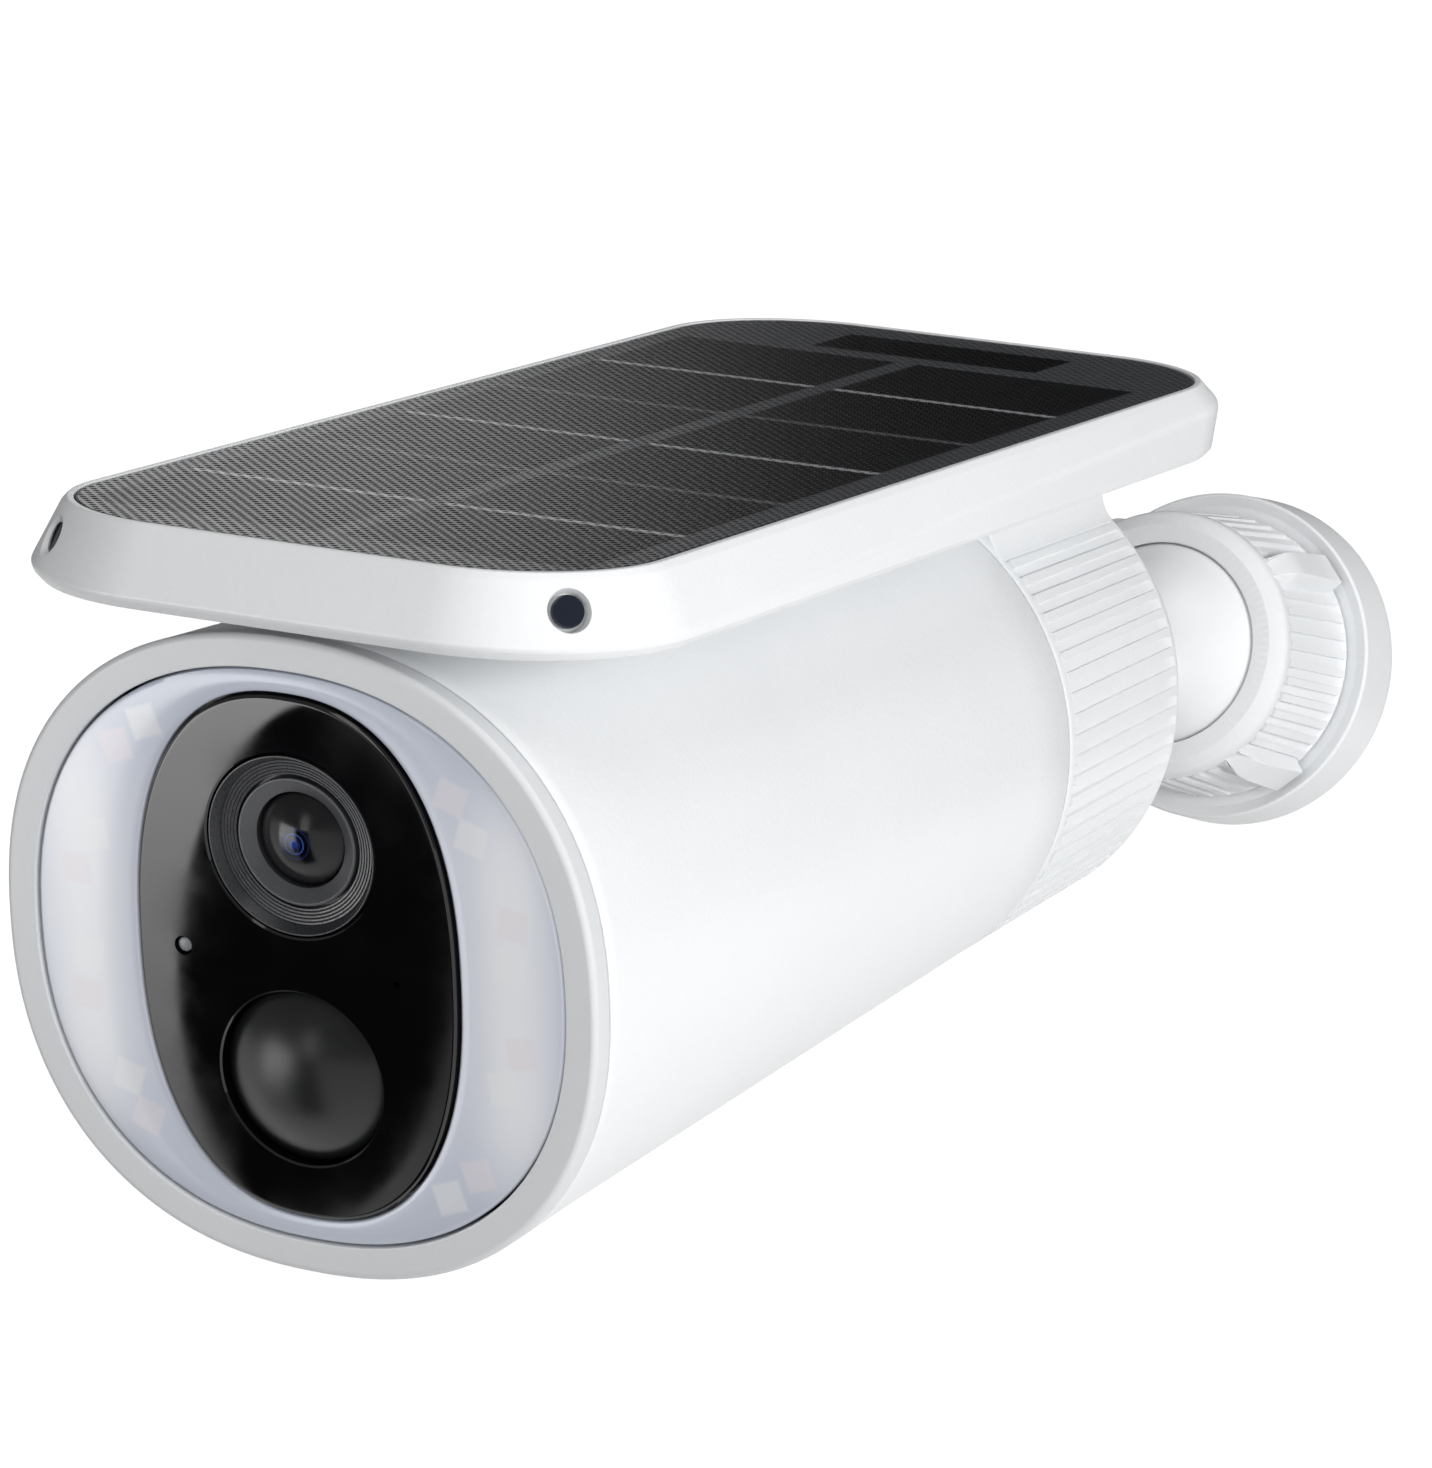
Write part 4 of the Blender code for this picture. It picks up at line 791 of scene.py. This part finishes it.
def buildPanel():
    housing = (
        (0, 0, 2.8, 2.8, 0), (0, 0, -0.1, -0.1, 0.15), (0.8, 0.8, -0.1, -0.1, 0.45),
        (1.5, 1.5, 0.7, 0.7, 0.9),
        (5.0, 3.3, 8.0, 2.3, 1.8), (4.6, 2.6, 8.6, 8.6, 0.5), (3.5, 1.6, 9.7, 9.7, 0.6),
        (1.7, -0.2, 9.7, 9.7, 0.3), (0.4, -0.8, 4.4, 4.4, 0),
    )
    columns = panelOutline(0)
    outward = [Vector(b) - Vector(a) for a, b in zip(columns, panelOutline(1))]
    sections = []
    for (x, y), out in zip(columns, outward):
        share = min(max(y / 188.0 + 0.5, 0), 1)
        corners = [(f + (r - f) * share, -(df + (dr - df) * share), soft) for f, r, df, dr, soft in housing]
        profile = softened(corners, 4, closed=False)
        sections.append([(x + out.x * grow, y + out.y * grow, z) for grow, z in profile])
    piece = loftRings("panel_moulding", [list(ring) for ring in zip(*sections)])
    for end, lean, depth, grown in ((-1, 22, 4.0, 2.7), (1, 4, 4.6, 2.6)):
        for side in (-1, 1):
            corner = Vector((side * 19.45, end * 75.4, 0))
            out = Vector((side, end, 0)).normalized()
            skin = corner + out * (18.6 + grown) - Vector((0, 0, depth))
            facing = Matrix.Rotation(math.radians(lean), 3, out.cross(Vector((0, 0, 1)))) @ out
            turn = Matrix.Translation(skin) @ facing.to_track_quat("Y", "Z").to_matrix().to_4x4()
            cone = turnedPiece("funnel_cutter", [
                (0, -1.2, 0), (2.25, -1.2, 0), (3.6, 3.5, 0), (0, 3.5, 0),
            ], 48, closed=False)
            cone.matrix_world = turn
            combine(piece, cone)
            name = ("front" if end < 0 else "rear") + ("_left" if side < 0 else "_right")
            window = turnedPiece("window_" + name, [
                (0, -0.9, 0), (1.95, -0.9, 0), (1.95, -0.1, 0.2), (0, 0.02, 0),
            ], 48, closed=False)
            settle(
                window, panelPlace @ turn, "panel_carrier", navyGlass, "sensor_window", "sun_sensor_" + name,
                angle=40,
            )
    settle(
        piece, panelPlace, "panel_carrier", whiteAsa, "white_plastic", "panel_housing", angle=32,
        flatFaces=True,
    )
    rings = []
    for inset, z in ((0.6, 0.0), (0.42, -0.05), (0.3, -0.18), (0.3, -2.5)):
        rings.append([(x, y, z) for x, y in panelOutline(-inset)])
    piece = loftRings("solar_sheet", rings)
    settle(
        piece, panelPlace, "panel_carrier", solarFilm, "solar_laminate", "solar_laminate", angle=40,
        flatFaces=True,
    )
    rings = []
    for inset, z in ((1.6, -6.9), (1.6, -8.1), (1.7, -8.32), (1.95, -8.4)):
        rings.append([(x, y, z) for x, y in panelOutline(-inset)])
    piece = loftRings("back_plate", rings)
    combine(piece, roundedBlock("cable_cutter", (-5, 65.2, -14), (5, 75.2, -4), 1.5))
    settle(
        piece, panelPlace, "panel_carrier", whiteAsa, "white_plastic", "panel_back_cover", angle=40,
        flatFaces=True,
    )


# collar

def buildCollar():
    collar = {
        "ribs": 76, "first": 42.5, "firstRib": 43.3, "start": 143.5, "underPanel": 8.7,
        "crossings": (-0.36, -0.245, -0.21, -0.07, 0.07, 0.21, 0.245, 0.36), "plateau": 0.22,
        "front": 34.4, "rear": 33.0, "bore": 29.9, "length": 38.8, "rib": 0.5, "ribEnd": 36.9,
        "neckFoot": 42.0, "neckWidth": 19.4,
    }
    # eight points cross each rib's pitch: a flat top between the middle four, steep sides, then the valley
    clear = collar["first"] - 0.8
    spots = []
    for rib in range(collar["ribs"]):
        for crossing in collar["crossings"]:
            angle = (collar["firstRib"] + 360 * (rib + crossing) / collar["ribs"]) % 360
            spots.append((angle, abs(crossing) < collar["plateau"]))
    spots.sort()

    def taper(y):
        narrowing = (collar["rear"] - collar["front"]) / (collar["length"] - 0.7)
        return collar["front"] + narrowing * max(y - 0.3, 0)

    def outline(y, ribShare, neckShare):
        slope = taper(y)
        points = []
        behind = y + collar["start"] - mount["panelBack"]
        top = mount["panelRise"] - behind * math.tan(math.radians(mount["panelTilt"])) - collar["underPanel"]
        for angle, raised in spots:
            fromTop = min(angle, 360 - angle)
            ribbed = 1 if raised and fromTop > clear else 0
            radius = slope - collar["rib"] * ribShare * (1 - ribbed)
            if fromTop <= clear:
                radius = slope
            a = math.radians(angle)
            x, z = radius * math.sin(a), radius * math.cos(a)
            if fromTop < collar["neckFoot"] and neckShare > 0:
                # foot to panel: the side sweeps inwards and up, the top lies flat under the panel
                foot = math.radians(collar["neckFoot"])
                start = Vector((slope * math.sin(foot), slope * math.cos(foot)))
                knee = Vector((collar["neckWidth"], start.y + (start.x - collar["neckWidth"]) * 0.9))
                high = Vector((collar["neckWidth"] + 0.2, top))
                share = 1 - fromTop / collar["neckFoot"]
                if share < 0.5:
                    t = share / 0.5
                    point = start * (1 - t) ** 2 + knee * 2 * t * (1 - t) + high * t ** 2
                else:
                    point = high.lerp(Vector((0, top)), (share - 0.5) / 0.5)
                sign = 1 if angle < 180 else -1
                x += (sign * point.x - x) * neckShare
                z += (point.y - z) * neckShare
            points.append((x, y, z))
        return points

    def flattened(points, y, share):
        # ribs cut down to the valley, in front of their end faces
        valley = taper(y) - collar["rib"]
        low = []
        for x, depth, z in points:
            reach = math.hypot(x, z)
            ribbed = abs(math.degrees(math.atan2(x, z))) > clear
            scale = (reach + (valley - reach) * share) / reach if ribbed else 1
            low.append((x * scale, depth, z * scale))
        return low

    def circle(y, radius):
        return [
            (radius * math.sin(math.radians(spot[0])), y, radius * math.cos(math.radians(spot[0])))
            for spot in spots
        ]

    length = collar["length"]
    rings = [
        circle(length, collar["bore"]), circle(0, collar["bore"]), circle(0, collar["front"] - 0.35),
        circle(0.08, collar["front"] - 0.12),
    ]
    rings += [
        outline(0.35, 0, 0), outline(0.8, 0, 0), outline(0.85, 0, 0.9), outline(1.1, 0, 0.985),
        outline(1.5, 0, 1),
    ]
    rings += [
        flattened(outline(y, 1, 1), y, 1 - rise)
        for y, rise in ((1.9, 0.0), (2.45, 0.0), (2.5, 1.0), (2.65, 1.0))
    ]
    rings += [outline(y, 1 - 0.35 * (y - 2.5) / 34, 1) for y in (6, 12, 18, 24, 30, 35)]
    rings += [
        outline(collar["ribEnd"], 0.6, 1), outline(37.6, 0, 1), outline(37.9, 0, 1),
        outline(38.15, 0, 0.985), outline(38.2, 0, 0.9), outline(38.25, 0, 0),
    ]
    rings += [circle(38.65, collar["rear"] - 0.1), circle(length, collar["rear"] - 0.45)]
    piece = loftRings("turning_collar", rings, closed=True)
    place = bodyPlace @ Matrix.Translation((0, collar["start"], 0))
    return settle(
        piece, place, "panel_carrier", whiteAsa, "white_plastic", "collar", angle=28, flatFaces=True,
    )


# rear cover, ball and wall mount

def smoothPath(points, steps):
    # passes through each point with rounded turns between them
    path = []
    for number in range(len(points) - 1):
        before = Vector(points[max(number - 1, 0)])
        first = Vector(points[number])
        last = Vector(points[number + 1])
        after = Vector(points[min(number + 2, len(points) - 1)])
        for step in range(steps):
            t = step / steps
            bend = 2 * before - 5 * first + 4 * last - after
            twist = 3 * first - before - 3 * last + after
            path.append(0.5 * (2 * first + (last - before) * t + bend * t * t + twist * t ** 3))
    return path + [Vector(points[-1])]


def buildRearCover():
    cover = {
        "front": 171.2, "rim": 182.6, "tail": 234.0, "bore": 4.3, "recess": 3.1, "screw": 12.0,
        "columns": 128,
    }
    bell = [
        (0, 0, 31.8), (4.4, -0.2, 30.8), (8.9, -1.0, 28.0), (13.4, -2.4, 24.2), (18.4, -4.4, 19.9),
        (24.4, -7.0, 15.6), (31.4, -9.2, 12.2), (39.4, -10.2, 10.2), (50.2, -10.4, 8.75),
    ]
    n = cover["columns"]
    rings = [
        roundRing(cover["front"], 29.6, 0, n), roundRing(cover["rim"], 29.6, 0, n),
        roundRing(cover["rim"], 31.4, 0, n),
    ]
    path = smoothPath(bell, 5)
    rings += [roundRing(cover["rim"] + max(y, 0.12), radius, z, n) for y, z, radius in path[:-1]]
    rings += [
        roundRing(232.9, 8.7, -10.4, n), roundRing(233.7, 8.45, -10.4, n),
        roundRing(cover["tail"], 7.9, -10.4, n),
    ]
    rings += [
        roundRing(cover["tail"], 4.7, -10.4, n), roundRing(cover["tail"] - 0.4, cover["bore"], -10.4, n),
        roundRing(cover["rim"] + 26.5, cover["bore"], -10.4, n),
    ]
    rings += [
        roundRing(cover["rim"] + y, radius, z, n)
        for y, z, radius in (
            (25.5, -7.4, 11.9), (18.4, -4.4, 16.9), (13.4, -2.4, 21.2), (8.9, -1.0, 25.0), (4.4, -0.2, 27.6),
            (0, 0, 27.4),
        )
    ]
    rings += [roundRing(cover["front"], 27.4, 0, n)]
    piece = loftRings("tail_moulding", rings, closed=True)
    spots = [(x, z) for x in (-cover["screw"], cover["screw"]) for z in (-cover["screw"], cover["screw"])]
    bossEnd = cover["rim"] + 12.5
    for x, z in spots:
        combine(piece, roundPeg("boss", x, z, 4.0, cover["front"], bossEnd + (1 if z > 0 else 5)), "UNION")
    for x, z in spots:
        combine(piece, roundPeg("recess_cutter", x, z, cover["recess"], bossEnd, bossEnd + 30))
        combine(piece, roundPeg("hole_cutter", x, z, 1.8, cover["front"] - 2, bossEnd + 2, 32))
    settle(piece, bodyPlace, "camera", whiteAsa, "white_plastic", "rear_cover", angle=34)
    # one pan-head screw with a cross recess, copied to the other three places
    rear = bossEnd + 0.3
    profile = [
        (0, 166.2, 0), (1.4, 166.2, 0.3), (1.4, rear, 0), (2.7, rear, 0.15), (2.7, rear + 0.9, 0.7),
        (1.6, rear + 2.0, 0.8), (0, rear + 2.05, 0),
    ]
    screw = turnedPiece("cover_screw", profile, 32, (0, 0), closed=False)
    for turn in (0, 90):
        slot = roundedBlock("cross_cutter", (-1.5, rear + 0.9, -0.3), (1.5, rear + 4, 0.3), 0.1, "Y", 2)
        slot.matrix_world = Matrix.Rotation(math.radians(turn + 20), 4, "Y")
        combine(screw, slot)
    for number, (x, z) in enumerate(spots, 1):
        one = duplicate(screw, f"cover_screw_{number}")
        settle(
            one, bodyPlace @ Matrix.Translation((x, 0, z)), "camera", zincSteel, "steel",
            f"rear_screw_{number}", angle=35,
        )
    bpy.data.objects.remove(screw)


def buildBall():
    ball = {"radius": 16.5, "neck": 5.6, "flange": -23.9, "shank": 4.0}
    neckAngle = math.asin(ball["neck"] / ball["radius"])
    profile = [
        (0, -56.2, 0), (ball["shank"], -56.2, 0.4), (ball["shank"], ball["flange"], 0),
        (8.3, ball["flange"], 0.2), (8.3, -22.6, 0.5), (6.2, -19.8, 1.0),
    ]
    for step in range(33):
        angle = math.pi - neckAngle - (math.pi - neckAngle) * step / 32
        profile.append((max(ball["radius"] * math.sin(angle), 0), ball["radius"] * math.cos(angle), 0))
    piece = turnedPiece("ball_and_stud", profile, 96, closed=False)
    settle(piece, ballPlace, "camera", glossWhiteAbs, "gloss_white_plastic", "ball_stud", angle=40)


def buildWallMount():
    plate = [(0, -3.0, 0), (20.0, -3.0, 0.4), (20.0, 0, 0.2), (0, 0, 0)]
    piece = turnedPiece("screw_plate", plate, 96, closed=False)
    for k in range(3):
        a = math.radians(90 + 120 * k)
        combine(
            piece,
            turnedPiece("plate_hole", [
                (0, -6, 0), (4.4, -6, 0), (4.4, -3.0, 0), (2.2, -1.0, 0), (2.2, 3, 0), (0, 3, 0),
            ], 32, (12 * math.cos(a), 12 * math.sin(a)), False),
        )
    settle(piece, wallPlace, "wall_mount", greyAbs, "grey_plastic", "wall_plate", angle=35, flatFaces=True)
    cup = 16.8
    pocket = math.asin(7.4 / cup)
    base = [(0, -6.0, 0), (7.4, -6.0, 0)]
    base += [
        (cup * math.sin(a), -24.2 + cup * math.cos(a), 0)
        for a in (pocket + (math.pi / 2 - pocket) * k / 12 for k in range(13))
    ]
    base += [
        (cup, -25.5, 0), (18.2, -25.5, 0.2), (18.2, -9.2, 0.5), (20.9, -9.0, 0.3), (22.6, -9.25, 0.8),
        (24.15, -10.0, 0.25), (24.5, -9.6, 0.3), (24.8, -1.2, 0.3), (24.8, 0, 0.3), (20.3, 0, 0.1),
        (20.3, -3.3, 0), (0, -3.3, 0),
    ]
    piece = turnedPiece("wall_dish", base, 144, closed=False)
    settle(piece, wallPlace, "wall_mount", whiteAsa, "white_plastic", "wall_base", angle=35, flatFaces=True)


def buildLockRing():
    ring = {
        "ribs": 48, "rib": 0.72, "mouth": -32.33, "rear": -9.4, "cup": 16.8, "ball": -24.2, "firstTab": 42,
        "crossings": (-0.42, -0.3, -0.25, -0.215, -0.07, 0.07, 0.215, 0.25, 0.3, 0.42),
    }
    spots = [
        (math.radians(360 * (rib + crossing) / ring["ribs"]), abs(crossing) < 0.22)
        for rib in range(ring["ribs"]) for crossing in ring["crossings"]
    ]

    def outline(y, ribShare):
        points = []
        for angle, raised in spots:
            radius = 19.8 + 1.4 * (y + 30.2) / 20.8 - (0 if raised else ring["rib"] * ribShare)
            points.append((radius * math.cos(angle), y, radius * math.sin(angle)))
        return points

    def circle(y, radius):
        return [(radius * math.cos(spot[0]), y, radius * math.sin(spot[0])) for spot in spots]

    mouthAngle = math.pi - math.asin(14.93 / ring["cup"])
    stepAngle = math.acos(-1.6 / ring["cup"])
    inside = [
        (ring["cup"] * math.sin(a), ring["ball"] + ring["cup"] * math.cos(a))
        for a in (mouthAngle + (stepAngle - mouthAngle) * k / 8 for k in range(8, -1, -1))
    ]
    rings = [circle(ring["rear"], 21.0), circle(ring["rear"], 18.5), circle(-25.8, 18.5)]
    rings += [circle(y, radius) for radius, y in inside]
    rings += [
        circle(-32.2, 15.0), circle(ring["mouth"], 15.2), circle(ring["mouth"], 17.5), circle(-32.24, 17.72),
    ]
    rings += [circle(-31.3, 19.15), circle(-31.0, 19.45), circle(-30.5, 19.68), circle(-30.1, 19.76)]
    # a smooth rim, then the ribs stand up behind it with square ends
    valley = 19.8 - ring["rib"]
    rings += [
        circle(-29.0, 19.82), circle(-28.7, 19.7), circle(-28.6, valley + 0.12),
        circle(-28.3, valley + 0.12), outline(-28.28, 1),
    ]
    rings += [outline(y, 1 - 0.2 * (y + 28) / 18) for y in (-27, -24, -20, -16, -12, -9.9)]
    rings += [circle(-9.8, 20.6), circle(-9.5, 20.9)]
    piece = loftRings("clamp_ring", rings, closed=True)
    # one finger tab: a ramp up to a ridge, then an almost level run to a square rear end
    sections = ((-29.5, 19.5, 1.2), (-25.8, 21.85, 1.95), (-22.6, 22.35, 2.15), (-10.3, 22.95, 2.55))
    loops = []
    for y, out, half in sections:
        loops.append([
            (19.0, y, -half - 0.9), (20.4, y, -half - 0.25), (out, y, -half), (out, y, half),
            (20.4, y, half + 0.25), (19.0, y, half + 0.9),
        ])
    tab = softenEdges(loftRings("finger_tab", loops), 0.22, 25)
    for number in range(4):
        one = duplicate(tab, f"finger_tab_{number}")
        one.matrix_world = Matrix.Rotation(-math.radians(ring["firstTab"] + 90 * number), 4, "Y")
        combine(piece, one, "UNION")
    bpy.data.objects.remove(tab)
    settle(
        piece, wallPlace, "locking_ring", whiteAsa, "white_plastic", "lock_ring", angle=30, flatFaces=True,
    )


buildShell()
buildPortCover()
print("shell and flap")
buildBezel()
buildDiffuser()
buildGlass()
buildLens()
buildMotionDome()
print("face")
buildPanel()
buildCollar()
print("panel and collar")
buildRearCover()
buildBall()
buildWallMount()
buildLockRing()
print("mount")

# the pieces that stay as the CAD has them, each with its own finish
carried = {
    "nylon": nylonWaxy, "steel": zincSteel, "motor_can": nickelCan, "brass": turnedBrass,
    "cell_can": cellWrap,
    "circuit_board": boardGreen, "white_board": whiteBoard, "black_plastic": blackPc,
    "grey_plastic": greyAbs, "rubber": darkRubber,
    "white_rubber": whiteSilicone, "white_plastic": whiteAsa, "black_glass": filterGlass,
    "gloss_white_plastic": glossWhiteAbs,
}
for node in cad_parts.values():
    slotName = node.data.materials[0].name.split(".")[0] if node.data.materials else ""
    look = carried.get(slotName, blackPc)
    node.data.materials.clear()
    node.data.materials.append(look)
print("carried over")


# room: plain floor, soft lights, camera

def softLight(name, place, aim, size, power, seen=True):
    lamp = bpy.data.lights.new(name, "AREA")
    lamp.shape = "ELLIPSE"
    lamp.size, lamp.size_y = size
    lamp.energy = power
    holder = bpy.data.objects.new(name, lamp)
    bpy.context.scene.collection.objects.link(holder)
    holder.location = place
    holder.rotation_euler = (Vector(aim) - Vector(place)).to_track_quat("-Z", "Y").to_euler()
    holder.visible_camera = False
    holder.visible_glossy = seen


bpy.ops.object.select_all(action="DESELECT")
bpy.ops.mesh.primitive_plane_add(size=40, location=(0, 0, -0.9))
floor = bpy.context.object
floor.name = "floor"
floorLook = newLook(
    "pale_floor", baseColor=linear("F4F4F4"), roughness=0.9, emissionColor=linear("FFFFFF"),
    emissionStrength=0.80,
)[0]
floor.data.materials.append(floorLook)
# only the camera and glossy surfaces see the floor, so that it can be white without lighting the underside
floor.visible_diffuse = False

world = bpy.data.worlds.new("studio")
bpy.context.scene.world = world
world.use_nodes = True
background = world.node_tree.nodes["Background"].inputs
background["Color"].default_value = linear("FFFFFF")
background["Strength"].default_value = 0.32
target = (0, -0.16, 0.02)
softLight("key_right", (1.1, -0.40, 0.25), target, (0.6, 0.5), 8.0, seen=False)
softLight("under_soft", (0.5, -0.4, -0.75), target, (0.8, 0.8), 0.5, seen=False)
softLight("front_soft", (0.5, -1.6, 0.1), target, (0.6, 0.6), 4.0, seen=False)
softLight("top_soft", (0.25, -0.75, 1.2), target, (1.0, 0.9), 3.5)
softLight("face_near", (0.17, -0.42, -0.02), (0.02, -0.29, 0.01), (0.08, 0.08), 0.035, seen=False)
softLight("face_front", (-0.12, -0.9, 0.07), (0, -0.29, 0.01), (0.16, 0.34), 0.30)

right = Vector((0.8887, 0.4573, 0.0330))
up = Vector((-0.1347, 0.1917, 0.9722))
back = Vector((0.4383, -0.8684, 0.2319))
eyePlace = Vector((0.418, -1.00243, 0.24423))


def studioCard(name, size, centre, across, upwards):
    # a card that only glossy surfaces see; across and upwards are its own axes
    bpy.ops.object.select_all(action="DESELECT")
    bpy.ops.mesh.primitive_plane_add(size=1)
    card = bpy.context.object
    card.name = name
    turn = Matrix((across, upwards, across.cross(upwards))).transposed().to_4x4()
    card.matrix_world = Matrix.Translation(centre) @ turn @ Matrix.Diagonal((size[0], size[1], 1, 1))
    card.visible_camera = card.visible_diffuse = card.visible_shadow = card.visible_transmission = False
    look = bpy.data.materials.new(name)
    look.use_nodes = True
    look.node_tree.nodes.remove(look.node_tree.nodes["Principled BSDF"])
    card.data.materials.append(look)
    return card, look


def shine(look, strength):
    emitted = addNode(look, "Emission", {"Strength": strength, "Color": "FFFFFF"})
    look.node_tree.links.new(emitted, look.node_tree.nodes["Material Output"].inputs[0])


def ovalReach(look, place, centre, half, turn=0):
    # 0 in the middle of an oval patch of the card, 1 on its edge
    patch = addNode(look, "Mapping", {
        "Vector": place, "Location": (*centre, 0), "Scale": (*half, 1),
        "Rotation": (0, 0, math.radians(turn)),
    }, vector_type="TEXTURE")
    return addNode(look, "VectorMath", {0: patch}, operation="LENGTH", give="Value")


# a black card beside the face takes away some light from the left
flag, flagLook = studioCard(
    "side_flag", (0.34, 0.6), Vector((-0.13, -0.50, 0.0)), Vector((0, 1, 0)), Vector((0, 0, 1)),
)
flag.visible_diffuse = True
flag.visible_glossy = False
shine(flagLook, 0.0)


def mirrored(direction):
    normal = facePlace.to_3x3() @ Vector((0, -1, 0))
    return direction - 2 * direction.dot(normal) * normal


# the cover glass mirrors a dark card with a pale surround, whose edge is a tall oval
glassCard = {"size": 0.3, "distance": 0.30, "centre": (0.012, 0.0), "half": (0.0735, 0.137), "turn": -2}
faceMiddle = faceCentre * mm
spot = faceMiddle + mirrored((faceMiddle - eyePlace).normalized()) * glassCard["distance"]
card, look = studioCard(
    "glass_card", (glassCard["size"], glassCard["size"]), spot, mirrored(right), mirrored(up),
)
place = addNode(look, "TexCoord", give="Object")
away = ovalReach(look, place, glassCard["centre"], glassCard["half"], glassCard["turn"])
edge = addNode(look, "MapRange", {"Value": away, "From Min": 0.99, "From Max": 1.03}, **smooth)
heights = addNode(look, "SeparateXYZ", {0: place}).node.outputs
fall = addNode(look, "MapRange", {
    "Value": heights[1], "From Min": -0.2, "From Max": 0.2, "To Min": 0.8, "To Max": 5.5,
})
leftward = addNode(look, "MapRange", {
    "Value": heights[0], "From Min": 0.12, "From Max": 0.0, "To Min": 0.0, "To Max": 1.0,
})
glow = addNode(look, "Math", {0: fall, 1: edge}, operation="MULTIPLY")
shine(look, addNode(look, "Math", {0: glow, 1: leftward}, operation="MULTIPLY"))

# the solar sheet mirrors a pale patch on a card behind it, so that its near end is lighter
sheetCard = {
    "size": (1.2, 0.7), "place": (-0.25, 0.10, 0.30), "centre": (0.0, -0.2), "half": (0.12, 0.2),
    "strength": 1.1,
}
card, look = studioCard(
    "sheet_card", sheetCard["size"], Vector(sheetCard["place"]), Vector((1, 0, 0)), Vector((0, 0, 1)),
)
away = ovalReach(look, addNode(look, "TexCoord", give="Object"), sheetCard["centre"], sheetCard["half"])
shine(look, addNode(look, "MapRange", {
    "Value": away, "From Min": 1.0, "From Max": 0.2, "To Min": 0.0, "To Max": sheetCard["strength"],
}, **smooth))

camera = bpy.data.cameras.new("camera")
camera.sensor_fit = "AUTO"
camera.sensor_width = 36
camera.lens = 180.22
camera.dof.use_dof = False
eye = bpy.data.objects.new("camera", camera)
bpy.context.scene.collection.objects.link(eye)
eye.matrix_world = Matrix.Translation(eyePlace) @ Matrix((right, up, back)).transposed().to_4x4()
bpy.context.scene.camera = eye
